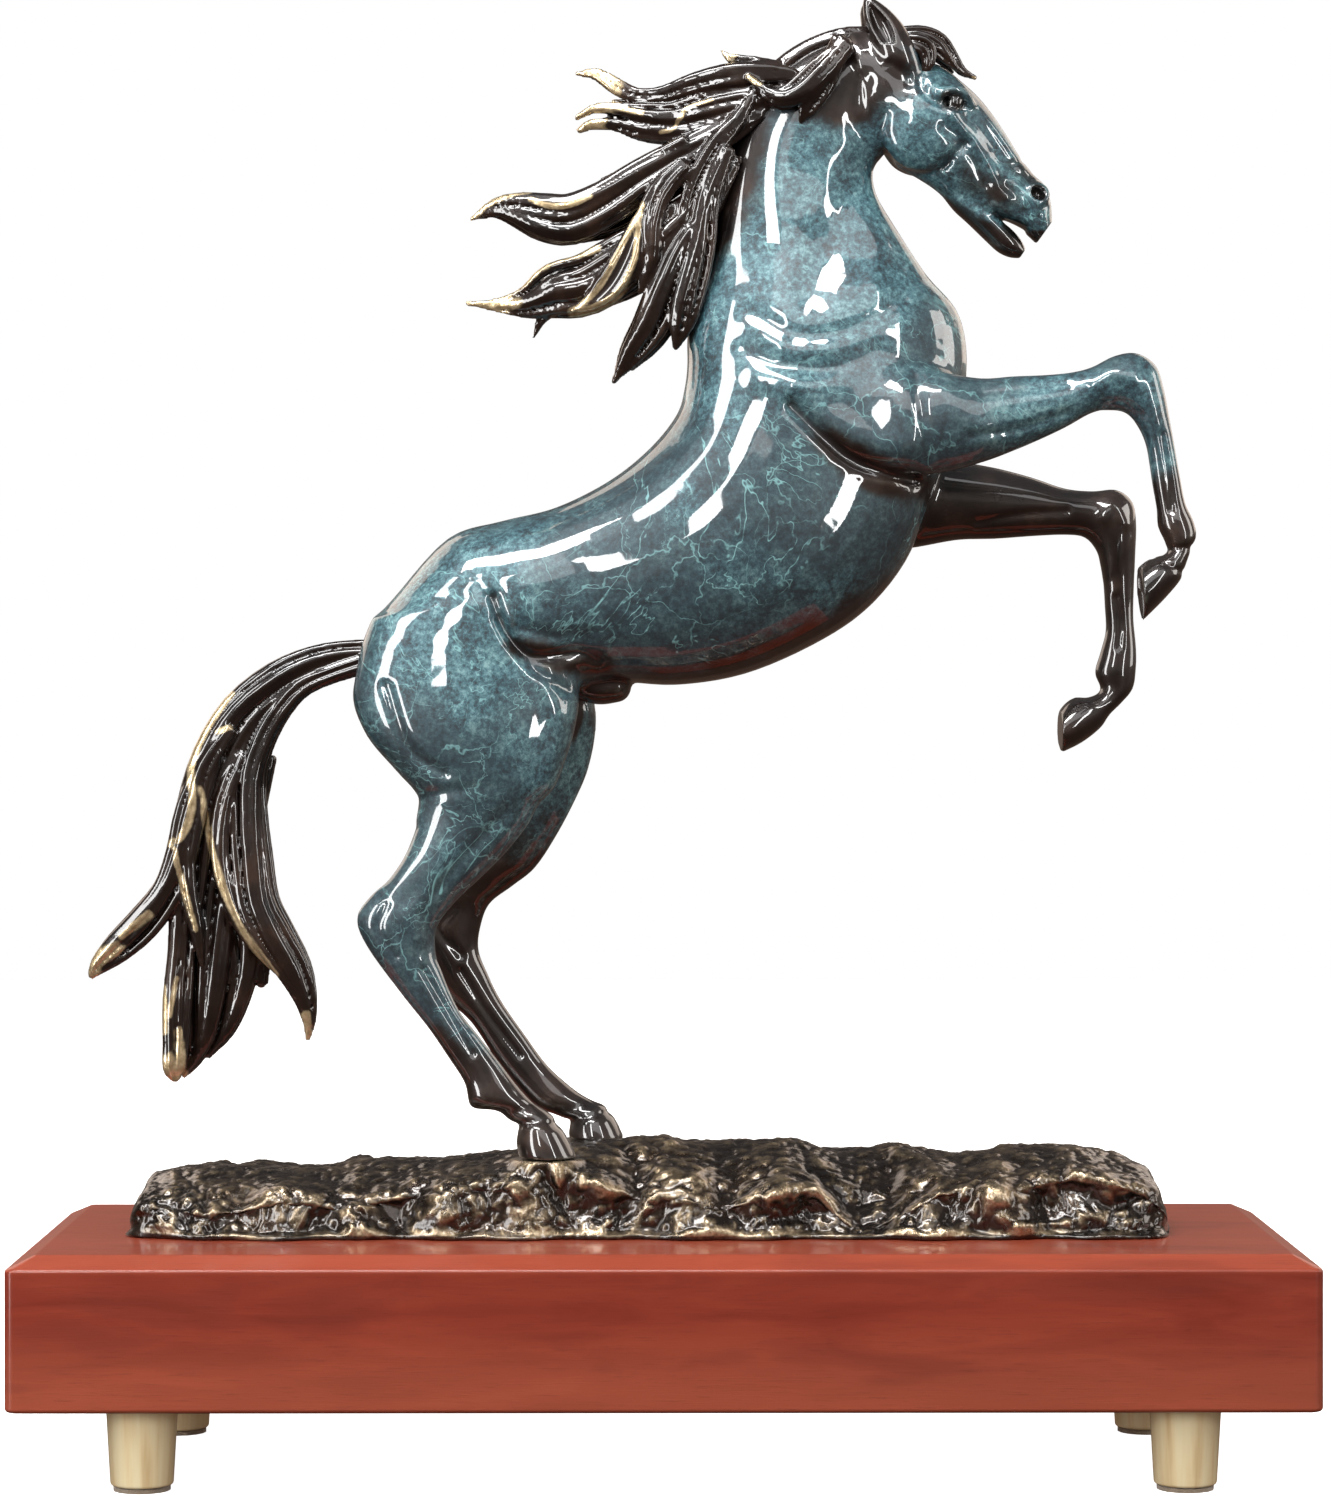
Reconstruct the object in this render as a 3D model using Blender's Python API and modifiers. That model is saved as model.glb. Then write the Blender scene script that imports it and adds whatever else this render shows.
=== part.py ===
"""Bronze rearing horse on a rock base and a wooden plinth, as separate castings and fittings.

World frame: +X is the way the horse faces, +Z up, origin on the floor under the plinth's centre.
Sizes below are in millimetres; MM turns them into Blender's metres.
"""

import bmesh
import bpy
from math import cos, pi, radians, sin
from mathutils import Vector

MM = 0.001
GAP = 0.3  # left between pieces that touch

# Plinth and feet
PLINTH_LENGTH = 465.0
PLINTH_DEPTH = 180.0
PLINTH_BOTTOM = 31.2
PLINTH_TOP = 86.2
CHAMFER_WIDTH = 9.0
CHAMFER_DROP = 4.4
FOOT_X = 186.8
FOOT_Y = 63.0
FOOT_TOP_R = 12.9
FOOT_BOTTOM_R = 11.3
PAD_THICKNESS = 1.5
STUD_R = 4.0  # M8 hanger stud
INSERT_R = 6.5
INSERT_DEPTH = 13.0

# Rock base and its fastenings
ROCK_BOTTOM = PLINTH_TOP + GAP
ROCK_LEFT = -198.0
ROCK_RIGHT = 185.5
ROCK_WALL = 6.0
BOLT_PLACES = ((-120.0, -18.0), (-120.0, 18.0), (140.0, -18.0), (140.0, 18.0))
BOLT_R = 3.0  # M6
BOSS_R = 8.0
COUNTERBORE_R = 9.6
COUNTERBORE_DEPTH = 12.0
BOLT_TIP = 103.0

# Hind hooves stand on flats of the rock, each on an M6 stud
HOOVES = {"right": (-43.0, -22.5, 114.6), "left": (-26.0, 22.0, 117.6)}
HOOF_STUD_R = 3.0
PAD_UNDER_HOOF_R = 9.0
PAD_UNDER_HOOF_Z = 102.5

# Joint planes of the horse's castings
NECK_JOINT_Z = 432.0
THIGH_JOINT_Z = 258.0
FORELEG_JOINT_X = 117.0
HEAD_JOINT = ((69.0, 550.0), (79.5, 477.0), (113.0, 443.0))

FIGURE_VOXEL = 2.2
FIGURE_TRIANGLES = 4400
CORE_TRIANGLES = 560

# Oval stations: (front x, front z, back x, back z, half width, side offset).
# On the body, "front" is the back line and "back" is the belly line.
BODY = (
    (-112, 300, -113, 284, 18, 0),
    (-105, 314, -106, 275, 27, 0),
    (-90, 333, -88, 272, 33, 0),
    (-70, 347, -60, 280, 35, 0),
    (-40, 354, -20, 289, 33, 0),
    (-18, 366, 8, 288, 36, 0),
    (0, 382, 34, 293, 39, 0),
    (8, 398, 70, 312, 39, 0),
    (10, 414, 98, 352, 36, 0),
    (12, 430, 112, 395, 31, 0),
    (15, 445, 108, 428, 24, 0),
)
NECK = (
    (12, 425, 112, 400, 30, 0),
    (15, 442, 106, 430, 24, 0),
    (19, 466, 88, 455, 18, 0),
    (23, 484, 79, 468, 16, 0),
    (31, 502, 78, 479, 14, 0),
    (45, 517, 82, 484, 13, 0),
    (62, 528, 90, 488, 13, 0),
    (80, 531, 96, 490, 13, 0),
)
HEAD = (
    (72, 530, 80, 488, 13, 0),
    (92, 522, 84, 486, 15, 0),
    (103, 519, 87, 480, 16, 0),
    (112, 512, 92, 477, 15, 0),
    (122, 501, 104, 469, 12, 0),
    (132, 486, 116, 460, 10, 0),
    (139, 478, 124, 456, 10, 0),
    (144, 469, 129, 451, 9, 0),
    (145, 461, 133, 448, 7, 0),
)
EARS = (((84, 524), (86, 533), (78, 542.5)), (5.0, 4.2, 1.2), 8.5)
HIND_RIGHT = (
    (-35, 318, -106, 312, 15, -17),
    (-29, 292, -113, 292, 18, -18),
    (-34, 268, -109, 270, 16, -20.5),
    (-42, 250, -96, 254, 15, -21),
    (-50, 236, -90, 241, 12, -21),
    (-66, 217, -99, 219, 10, -22),
    (-80, 202, -112, 206, 9, -22),
    (-83, 189, -108, 193, 8, -22),
    (-81, 183, -95, 175, 6, -22),
    (-67, 159, -79, 151, 5.5, -22),
    (-54, 141, -70, 133, 7, -22),
    (-42, 131, -55, 127, 7.5, -22),
    (-39, 128, -53, 125, 10, -22),
    (-31, 112, -54, 112, 12.5, -22),
)
HIND_LEFT = (
    (-30, 318, -100, 312, 15, 17),
    (-25, 284, -106, 284, 17, 19),
    (-26, 266, -99, 264, 16, 20.5),
    (-31, 248, -84, 243, 13, 21),
    (-45, 225, -82, 226, 10, 22),
    (-65, 206, -97, 204, 9, 22),
    (-69, 193, -97, 190, 8, 22),
    (-66, 180, -84, 171, 6, 22),
    (-52, 157, -64, 148, 5.5, 22),
    (-34, 136, -48, 130, 7, 22),
    (-22, 130, -36, 126, 8, 22),
    (-19, 127, -36, 123, 10, 22),
    (-13, 115, -37, 115, 12.5, 22),
)
FORE_RIGHT = (
    (62, 410, 66, 352, 12, -18),
    (96, 404, 92, 362, 16, -22),
    (116, 401, 107, 367, 14, -24),
    (140, 402, 134, 377, 11, -24),
    (157, 405, 157, 388, 8, -24),
    (174, 410, 168, 388, 8.5, -24),
    (183, 397, 175, 381, 7.5, -24),
    (189, 368, 179, 363, 5.5, -24),
    (195, 346, 183, 343, 7, -24),
    (191, 333, 184, 336, 7, -24),
    (190, 328, 180, 336, 9, -24),
    (176, 311, 174, 332, 11.5, -24),
)
FORE_LEFT = (
    (64, 392, 70, 335, 12, 18),
    (98, 378, 96, 340, 15, 22),
    (114, 373, 112, 343, 13, 24),
    (140, 367, 140, 345, 10, 24),
    (160, 362, 158, 345, 8, 24),
    (177, 358, 165, 334, 8, 24),
    (179, 340, 166, 325, 7, 24),
    (178, 312, 167, 308, 5.5, 24),
    (179, 293, 164, 292, 7, 24),
    (169, 278, 161, 283, 7, 24),
    (166, 272, 156, 285, 9, 24),
    (150, 262, 150, 280, 11.5, 24),
)

# Hollow of the castings: the same kind of stations, one wall thickness further in
BODY_CORE = (
    (-92, 318, -92, 288, 20, 0),
    (-62, 337, -56, 292, 27, 0),
    (-18, 352, 8, 300, 29, 0),
    (8, 380, 62, 322, 32, 0),
    (18, 412, 96, 372, 28, 0),
    (22, 432, 100, 416, 22, 0),
    (28, 460, 78, 450, 12, 0),
    (36, 488, 70, 476, 9, 0),
    (54, 512, 76, 492, 8, 0),
    (82, 518, 92, 496, 8, 0),
    (104, 506, 98, 486, 8, 0),
)
LEG_CORES = (
    ((-48, 304, -92, 300, 9, -19), (-46, 266, -92, 268, 9, -21), (-58, 240, -80, 243, 5, -21)),
    ((-42, 304, -88, 300, 9, 19), (-38, 262, -86, 260, 9, 21), (-50, 233, -72, 234, 5, 22)),
    ((80, 396, 80, 366, 9, -20), (116, 394, 111, 375, 8, -24), (140, 396, 137, 384, 5, -24)),
    ((82, 372, 82, 348, 9, 20), (116, 366, 114, 350, 8, 24), (140, 361, 140, 351, 5, 24)),
)

# Hair: (x, z) points of a lock, its y at the root and at the tip, and its radius at each point
MANE_CREST = (((6, 414), (7, 440), (13, 468), (25, 497), (41, 514), (60, 525), (74, 529)), 0, 0,
              (4, 8, 8.5, 8, 8, 7, 5))
MANE_LOCKS = (
    (((42, 514), (20, 515), (0, 507), (-14, 506), (-25, 514), (-31, 516)), 2, 8, (7, 6, 4, 3.5, 3, 1)),
    (((35, 508), (10, 502), (-10, 496), (-24, 499), (-32, 496)), -4, -8, (8, 7, 6, 6, 2.5)),
    (((22, 490), (0, 480), (-22, 466), (-42, 461), (-58, 466), (-71, 461)), 0, -4, (8, 7, 6, 5, 3.5, 1)),
    (((15, 466), (-8, 450), (-30, 436), (-52, 430), (-73, 429)), -2, -12, (9, 8, 6.5, 5, 1.5)),
    (((14, 466), (-6, 446), (-22, 432), (-34, 427)), 6, 12, (8, 7, 5, 1.5)),
    (((10, 448), (2, 432), (-7, 416), (-19, 400)), -5, -9, (7, 6, 4.5, 1.2)),
)
FORELOCK = (((82, 529), (91, 528), (100, 527), (107, 521), (112, 516), (116, 513)), 0, -3,
            (4, 4.5, 4, 3.2, 2.2, 0.8))
TAIL_LOCKS = (
    (((-98, 300), (-120, 299), (-140, 292), (-156, 279), (-166, 260), (-167, 235), (-165, 208)), 0, 0,
     (7, 6.5, 8, 11, 14, 17.5, 19)),
    (((-170, 225), (-181, 207), (-195, 194), (-206, 186), (-213, 181)), 0, 4, (14, 8, 5.5, 4.5, 1.5)),
    (((-168, 212), (-174, 188), (-177, 168), (-180, 150), (-181, 143)), -3, -5, (16, 12, 10, 6, 2)),
    (((-163, 208), (-160, 188), (-162, 170), (-165, 155)), 4, 7, (16, 14, 9, 4)),
    (((-158, 214), (-148, 198), (-137, 186), (-131, 172), (-132, 158)), 0, -4, (15, 8, 6.5, 5, 2)),
)

MATERIALS = {
    "patina_bronze": ((0.10, 0.19, 0.22), 0.25, 0.8),
    "dark_bronze": ((0.05, 0.03, 0.025), 0.25, 0.8),
    "rock_bronze": ((0.11, 0.07, 0.045), 0.35, 0.8),
    "plinth_wood": ((0.30, 0.07, 0.04), 0.15, 0.0),
    "foot_brass": ((0.60, 0.50, 0.30), 0.3, 1.0),
    "steel": ((0.55, 0.55, 0.57), 0.35, 1.0),
    "felt": ((0.04, 0.04, 0.04), 0.95, 0.0),
}


def clear_scene():
    for obj in list(bpy.data.objects):
        bpy.data.objects.remove(obj, do_unlink=True)


def new_collection(name):
    collection = bpy.data.collections.new(name)
    bpy.context.scene.collection.children.link(collection)
    return collection


def make_materials():
    made = {}
    for name, (colour, roughness, metallic) in MATERIALS.items():
        material = bpy.data.materials.new(name)
        material.use_nodes = True
        shader = material.node_tree.nodes["Principled BSDF"]
        shader.inputs["Base Color"].default_value = (*colour, 1.0)
        shader.inputs["Roughness"].default_value = roughness
        shader.inputs["Metallic"].default_value = metallic
        made[name] = material
    return made


# ---------------------------------------------------------------- mesh helpers


def to_object(name, bm, collection, material=None):
    """Turn a bmesh in millimetres into an object in metres."""
    bmesh.ops.scale(bm, vec=(MM, MM, MM), verts=bm.verts)
    bmesh.ops.recalc_face_normals(bm, faces=bm.faces)
    mesh = bpy.data.meshes.new(name)
    bm.to_mesh(mesh)
    bm.free()
    obj = bpy.data.objects.new(name, mesh)
    collection.objects.link(obj)
    if material is not None:
        mesh.materials.append(material)
    return obj


def ring_points(station, sides):
    front_x, front_z, back_x, back_z, half_width, side = station
    centre = Vector(((front_x + back_x) / 2, side, (front_z + back_z) / 2))
    reach = Vector(((front_x - back_x) / 2, 0, (front_z - back_z) / 2))
    width = Vector((0, half_width, 0))
    turns = [2 * pi * i / sides for i in range(sides)]
    return [centre + reach * cos(t) + width * sin(t) for t in turns]


def add_loft(bm, stations, sides=16):
    """Add a closed loft through oval stations to a bmesh."""
    rings = [[bm.verts.new(p) for p in ring_points(s, sides)] for s in stations]
    for low, high in zip(rings, rings[1:]):
        for i in range(sides):
            j = (i + 1) % sides
            bm.faces.new((low[i], low[j], high[j], high[i]))
    bm.faces.new(rings[0])
    bm.faces.new(rings[-1])


def add_lock(bm, points, root_y, tip_y, radii, sides=10):
    """Add one tapering lock of hair that runs through points."""
    path = []
    for i, (x, z) in enumerate(points):
        share = i / (len(points) - 1)
        path.append(Vector((x, root_y + (tip_y - root_y) * share, z)))
    stations = []
    for i, point in enumerate(path):
        along = (path[min(i + 1, len(path) - 1)] - path[max(i - 1, 0)]).normalized()
        across = Vector((0, 1, 0)).cross(along).normalized() * radii[i]
        ends = (point + across, point - across)
        stations.append((ends[0].x, ends[0].z, ends[1].x, ends[1].z, radii[i] * 1.15, point.y))
    add_loft(bm, stations, sides)


def apply_modifiers(obj):
    graph = bpy.context.evaluated_depsgraph_get()
    graph.update()
    mesh = bpy.data.meshes.new_from_object(obj.evaluated_get(graph))
    obj.modifiers.clear()
    old = obj.data
    obj.data = mesh
    bpy.data.meshes.remove(old)


def triangle_count(obj):
    return sum(len(face.vertices) - 2 for face in obj.data.polygons)


def fuse(obj, voxel, triangles, smooth_steps=4):
    """Melt overlapping closed forms into one skin of about the given number of triangles."""
    remesh = obj.modifiers.new("skin", "REMESH")
    remesh.mode = "VOXEL"
    remesh.voxel_size = voxel * MM
    smooth = obj.modifiers.new("smooth", "SMOOTH")
    smooth.iterations = smooth_steps
    apply_modifiers(obj)
    reduce = obj.modifiers.new("reduce", "DECIMATE")
    reduce.use_collapse_triangulate = True
    reduce.ratio = min(1.0, triangles / triangle_count(obj))
    apply_modifiers(obj)


def boolean(obj, cutter, operation):
    cut = obj.modifiers.new(operation.lower(), "BOOLEAN")
    cut.operation = operation
    cut.solver = "EXACT"
    cut.object = cutter
    apply_modifiers(obj)


def copy_object(obj, name, collection, material=None):
    copy = bpy.data.objects.new(name, obj.data.copy())
    collection.objects.link(copy)
    copy.data.materials.clear()
    if material is not None:
        copy.data.materials.append(material)
    return copy


def hide_cutter(obj):
    obj.hide_render = True
    obj.display_type = "WIRE"
    return obj


def round_shading(obj, angle=35):
    obj.data.shade_smooth()
    obj.data.set_sharp_from_angle(angle=radians(angle))


def add_cylinder(bm, place, bottom, top, radius, sides=16):
    made = bmesh.ops.create_cone(bm, cap_ends=True, segments=sides, radius1=radius,
                                 radius2=radius, depth=top - bottom)
    offset = Vector((place[0], place[1], (top + bottom) / 2))
    bmesh.ops.translate(bm, vec=offset, verts=made["verts"])


def cylinder(name, collection, material, place, bottom, top, radius, sides=16):
    bm = bmesh.new()
    add_cylinder(bm, place, bottom, top, radius, sides=sides)
    obj = to_object(name, bm, collection, material)
    round_shading(obj)
    return obj


def block(name, collection, low, high):
    bm = bmesh.new()
    bmesh.ops.create_cube(bm, size=1.0)
    size = [h - l for l, h in zip(low, high)]
    bmesh.ops.scale(bm, vec=size, verts=bm.verts)
    middle = [(l + h) / 2 for l, h in zip(low, high)]
    bmesh.ops.translate(bm, vec=middle, verts=bm.verts)
    return hide_cutter(to_object(name, bm, collection))


def turned(name, collection, material, place, profile, sides=24):
    """Turn a closed (radius, height) profile about a vertical axis through place."""
    bm = bmesh.new()
    points = [bm.verts.new((r, 0, z)) for r, z in profile]
    is_ring = profile[0][0] > 0
    for first, second in zip(points, points[1:] + (points[:1] if is_ring else [])):
        bm.edges.new((first, second))
    obj = to_object(name, bm, collection, material)
    screw = obj.modifiers.new("turn", "SCREW")
    screw.steps = screw.render_steps = sides
    screw.use_merge_vertices = True
    screw.merge_threshold = 0.00001
    screw.use_normal_calculate = True
    screw.use_normal_flip = True
    apply_modifiers(obj)
    obj.location = (place[0] * MM, place[1] * MM, 0)
    round_shading(obj)
    return obj


def prism(name, collection, outline, depth=120.0):
    """A cutter with an outline in X and Z, as deep as the whole figure."""
    bm = bmesh.new()
    near = [bm.verts.new((x, -depth, z)) for x, z in outline]
    face = bm.faces.new(near)
    extruded = bmesh.ops.extrude_face_region(bm, geom=[face])
    far = [v for v in extruded["geom"] if isinstance(v, bmesh.types.BMVert)]
    bmesh.ops.translate(bm, vec=(0, 2 * depth, 0), verts=far)
    return hide_cutter(to_object(name, bm, collection))


# ---------------------------------------------------------------- the horse


def horse_skin(cutters):
    bm = bmesh.new()
    for stations in (BODY, NECK, HEAD, HIND_RIGHT, HIND_LEFT, FORE_RIGHT, FORE_LEFT):
        add_loft(bm, stations)
    ear_points, ear_radii, ear_y = EARS
    for side in (-1, 1):
        add_lock(bm, ear_points, side * ear_y, side * ear_y, ear_radii)
    skin = to_object("horse_skin", bm, cutters)
    fuse(skin, FIGURE_VOXEL, FIGURE_TRIANGLES)
    return hide_cutter(skin)


def horse_core(cutters):
    bm = bmesh.new()
    for stations in (BODY_CORE, *LEG_CORES):
        add_loft(bm, stations, sides=12)
    core = to_object("horse_core", bm, cutters)
    fuse(core, 2.5, CORE_TRIANGLES)
    return hide_cutter(core)


def casting_regions(cutters):
    """The part of space that each casting of the horse fills, with the joint gaps left open."""
    half = GAP / 2
    (top_x, top_z), (throat_x, throat_z), (jaw_x, jaw_z) = HEAD_JOINT
    neck_z = NECK_JOINT_Z + half
    neck = ((-60, neck_z), (jaw_x, neck_z), (jaw_x, jaw_z - half), (throat_x - half, throat_z),
            (top_x - half, top_z), (-60, top_z))
    head = ((top_x + half, top_z), (throat_x + half, throat_z), (jaw_x, jaw_z + half),
            (170, jaw_z + half), (170, top_z))
    thigh_z = THIGH_JOINT_Z
    fore_x = FORELEG_JOINT_X
    right_sole = HOOVES["right"][2]
    left_sole = HOOVES["left"][2]
    return {
        "body": block("body_region", cutters, (-200, -90, thigh_z + half),
                      (fore_x - half, 90, NECK_JOINT_Z - half)),
        "neck": prism("neck_region", cutters, neck),
        "head": prism("head_region", cutters, head),
        "right_hind_leg": block("right_hind_region", cutters, (-200, -90, right_sole),
                                (60, 0.5, thigh_z - half)),
        "left_hind_leg": block("left_hind_region", cutters, (-200, 0.5, left_sole),
                               (60, 90, thigh_z - half)),
        "right_foreleg": block("right_fore_region", cutters, (fore_x + half, -90, 200),
                               (260, 0.5, 425)),
        "left_foreleg": block("left_fore_region", cutters, (fore_x + half, 0.5, 200),
                              (260, 90, 425)),
    }


def make_horse(parts, cutters, materials):
    skin = horse_skin(cutters)
    core = horse_core(cutters)
    castings = {}
    for name, region in casting_regions(cutters).items():
        casting = copy_object(skin, name, parts, materials["patina_bronze"])
        boolean(casting, region, "INTERSECT")
        boolean(casting, core, "DIFFERENCE")
        round_shading(casting, 60)
        castings[name] = casting
    for side, (x, y, sole) in HOOVES.items():
        bore = cylinder(f"{side}_hoof_bore", cutters, None, (x, y), sole - 5, sole + 11,
                        HOOF_STUD_R + GAP, sides=12)
        boolean(castings[f"{side}_hind_leg"], hide_cutter(bore), "DIFFERENCE")
    return skin


def make_hair(parts, cutters, materials, skin):
    """Mane, forelock and tail: solid castings that lie against the horse's skin."""
    clearance = copy_object(skin, "skin_clearance", cutters)
    swell = clearance.modifiers.new("clearance", "DISPLACE")
    swell.strength = GAP * MM
    swell.mid_level = 0.0
    apply_modifiers(clearance)
    hide_cutter(clearance)
    hair = {
        "mane": ((MANE_CREST, *MANE_LOCKS), 1100),
        "forelock": ((FORELOCK,), 160),
        "tail": (TAIL_LOCKS, 800),
    }
    for name, (locks, triangles) in hair.items():
        bm = bmesh.new()
        for lock in locks:
            add_lock(bm, *lock)
        obj = to_object(name, bm, parts, materials["dark_bronze"])
        fuse(obj, 1.2 if name == "forelock" else 2.0, triangles, smooth_steps=2)
        obj.data.materials.clear()
        obj.data.materials.append(materials["dark_bronze"])
        boolean(obj, clearance, "DIFFERENCE")
        round_shading(obj, 60)


# ---------------------------------------------------------------- the rock base


def rock_top(x):
    """Height of the rock's middle line above the floor."""
    rise = 107 + 11 * sin(pi * min(1.0, max(0.0, (x + 190) / 300))) + 2.0 * sin(x / 17.0)
    left_fall = 12 * max(0.0, (-165 - x) / 33) ** 1.6
    right_rise = 5 * max(0.0, (x - 105) / 80)
    return rise - left_fall + right_rise


def rock_half_depth(x):
    taper = max(0.0, (-150 - x) / 48) ** 2
    return 41 - 14 * taper + 1.6 * sin(x / 13.0)


def rock_section(x, wall=0.0):
    """Low arch of the rock at x: (y, z) points from the front foot over the top to the back."""
    half = rock_half_depth(x) - wall
    top = rock_top(x) - wall
    base = ROCK_BOTTOM if wall == 0.0 else ROCK_BOTTOM - 5.0
    rise = top - base
    ledge = 0.78 + 0.08 * sin(x / 9.0)
    return [
        (-half, base), (-half + 2, base + 0.55 * rise), (-half + 7, base + ledge * rise),
        (-half + 18, base + 0.95 * rise), (0, top), (half - 14, base + 0.97 * rise),
        (half - 4, base + 0.8 * rise), (half, base),
    ]


def rock_form(name, collection, stations, wall=0.0):
    bm = bmesh.new()
    rings = []
    for x in stations:
        rings.append([bm.verts.new((x, y, z)) for y, z in rock_section(x, wall)])
    count = len(rings[0])
    for low, high in zip(rings, rings[1:]):
        for i in range(count):
            j = (i + 1) % count
            bm.faces.new((low[i], low[j], high[j], high[i]))
    bm.faces.new(rings[0])
    bm.faces.new(rings[-1])
    return to_object(name, bm, collection)


def spread(low, high, count):
    return [low + (high - low) * i / (count - 1) for i in range(count)]


def make_rock(parts, cutters, materials):
    rock = rock_form("rock_base", parts, spread(ROCK_LEFT, ROCK_RIGHT, 24))
    hollow = rock_form("rock_hollow", cutters, spread(ROCK_LEFT + 26, ROCK_RIGHT - ROCK_WALL, 14),
                       ROCK_WALL)
    for i, place in enumerate(BOLT_PLACES):
        boss = cylinder(f"boss_{i + 1}", cutters, None, place, ROCK_BOTTOM, 140, BOSS_R)
        boolean(hollow, hide_cutter(boss), "DIFFERENCE")
    for side, (x, y, _sole) in HOOVES.items():
        pad = cylinder(f"{side}_pad", cutters, None, (x, y), PAD_UNDER_HOOF_Z, 140, PAD_UNDER_HOOF_R)
        boolean(hollow, hide_cutter(pad), "DIFFERENCE")
    boolean(rock, hide_cutter(hollow), "DIFFERENCE")
    for side, (x, y, sole) in HOOVES.items():
        seat = cylinder(f"{side}_seat", cutters, None, (x, y), sole - GAP, 140, 16.0)
        boolean(rock, hide_cutter(seat), "DIFFERENCE")
        bore = cylinder(f"{side}_rock_bore", cutters, None, (x, y), 80, 150, HOOF_STUD_R + GAP, sides=12)
        boolean(rock, hide_cutter(bore), "DIFFERENCE")
    for i, place in enumerate(BOLT_PLACES):
        bore = cylinder(f"boss_bore_{i + 1}", cutters, None, place, 80, BOLT_TIP + 1, BOLT_R + GAP, sides=12)
        boolean(rock, hide_cutter(bore), "DIFFERENCE")
    rock.data.materials.clear()
    rock.data.materials.append(materials["rock_bronze"])
    round_shading(rock, 30)


# ---------------------------------------------------------------- plinth, feet and fittings


def plinth_holes(bm):
    for x, y in BOLT_PLACES:
        add_cylinder(bm, (x, y), PLINTH_BOTTOM - 5, PLINTH_BOTTOM + COUNTERBORE_DEPTH, COUNTERBORE_R)


def make_plinth(parts, cutters, materials):
    half_l = PLINTH_LENGTH / 2
    half_d = PLINTH_DEPTH / 2
    levels = (
        (PLINTH_BOTTOM, 1.5), (PLINTH_BOTTOM + 1.5, 0.0),
        (PLINTH_TOP - CHAMFER_DROP - 0.8, 0.0), (PLINTH_TOP - CHAMFER_DROP, 0.6),
        (PLINTH_TOP, CHAMFER_WIDTH),
    )
    bm = bmesh.new()
    rings = []
    for z, inset in levels:
        corners = rounded_rectangle(half_l - inset, half_d - inset, max(1.5, 4.0 - inset))
        rings.append([bm.verts.new((x, y, z)) for x, y in corners])
    count = len(rings[0])
    for low, high in zip(rings, rings[1:]):
        for i in range(count):
            j = (i + 1) % count
            bm.faces.new((low[i], low[j], high[j], high[i]))
    bm.faces.new(rings[0])
    bm.faces.new(rings[-1])
    plinth = to_object("plinth", bm, parts)
    holes = bmesh.new()
    for x, y in BOLT_PLACES:
        add_cylinder(holes, (x, y), 20, 120, BOLT_R + GAP, sides=12)
    boolean(plinth, hide_cutter(to_object("bolt_holes", holes, cutters)), "DIFFERENCE")
    wide = bmesh.new()
    plinth_holes(wide)
    boolean(plinth, hide_cutter(to_object("counterbores", wide, cutters)), "DIFFERENCE")
    for i, place in enumerate(foot_places()):
        pocket = cylinder(f"insert_pocket_{i + 1}", cutters, None, place, 20,
                          PLINTH_BOTTOM + INSERT_DEPTH + GAP, INSERT_R + GAP)
        boolean(plinth, hide_cutter(pocket), "DIFFERENCE")
        pilot = cylinder(f"stud_pilot_{i + 1}", cutters, None, place, 20, 57, STUD_R + GAP, sides=12)
        boolean(plinth, hide_cutter(pilot), "DIFFERENCE")
    plinth.data.materials.clear()
    plinth.data.materials.append(materials["plinth_wood"])
    round_shading(plinth, 25)


def rounded_rectangle(half_x, half_y, radius, steps=2):
    points = []
    for corner in range(4):
        turn = corner * pi / 2
        sign_x = 1 if corner in (0, 3) else -1
        sign_y = 1 if corner in (0, 1) else -1
        for step in range(steps + 1):
            angle = turn + pi / 2 * step / steps
            points.append((sign_x * (half_x - radius) + radius * cos(angle),
                           sign_y * (half_y - radius) + radius * sin(angle)))
    return points


def foot_places():
    return [(sx * FOOT_X, sy * FOOT_Y) for sx, sy in ((-1, -1), (1, -1), (-1, 1), (1, 1))]


def make_feet(parts, materials):
    low = PAD_THICKNESS + GAP
    high = PLINTH_BOTTOM - GAP
    bore = STUD_R + GAP
    profile = ((0, low), (FOOT_BOTTOM_R - 1.0, low), (FOOT_BOTTOM_R, low + 1.0), (FOOT_TOP_R, high),
               (bore, high), (bore, high - 16), (0, high - 16))
    insert_low = PLINTH_BOTTOM + GAP
    insert_high = PLINTH_BOTTOM + INSERT_DEPTH
    insert = ((bore, insert_low), (INSERT_R, insert_low), (INSERT_R, insert_high), (bore, insert_high))
    for i, place in enumerate(foot_places()):
        turned(f"foot_{i + 1}", parts, materials["foot_brass"], place, profile, sides=24)
        turned(f"threaded_insert_{i + 1}", parts, materials["foot_brass"], place, insert, sides=12)
        cylinder(f"foot_stud_{i + 1}", parts, materials["steel"], place, high - 15, 56, STUD_R, sides=12)
        cylinder(f"felt_pad_{i + 1}", parts, materials["felt"], place, 0, PAD_THICKNESS,
                 FOOT_BOTTOM_R - 1.0)


def washer(name, parts, materials, place, low, high, outer, inner):
    ring = ((inner, low), (outer, low), (outer, high), (inner, high))
    turned(name, parts, materials["steel"], place, ring, sides=14)


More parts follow.
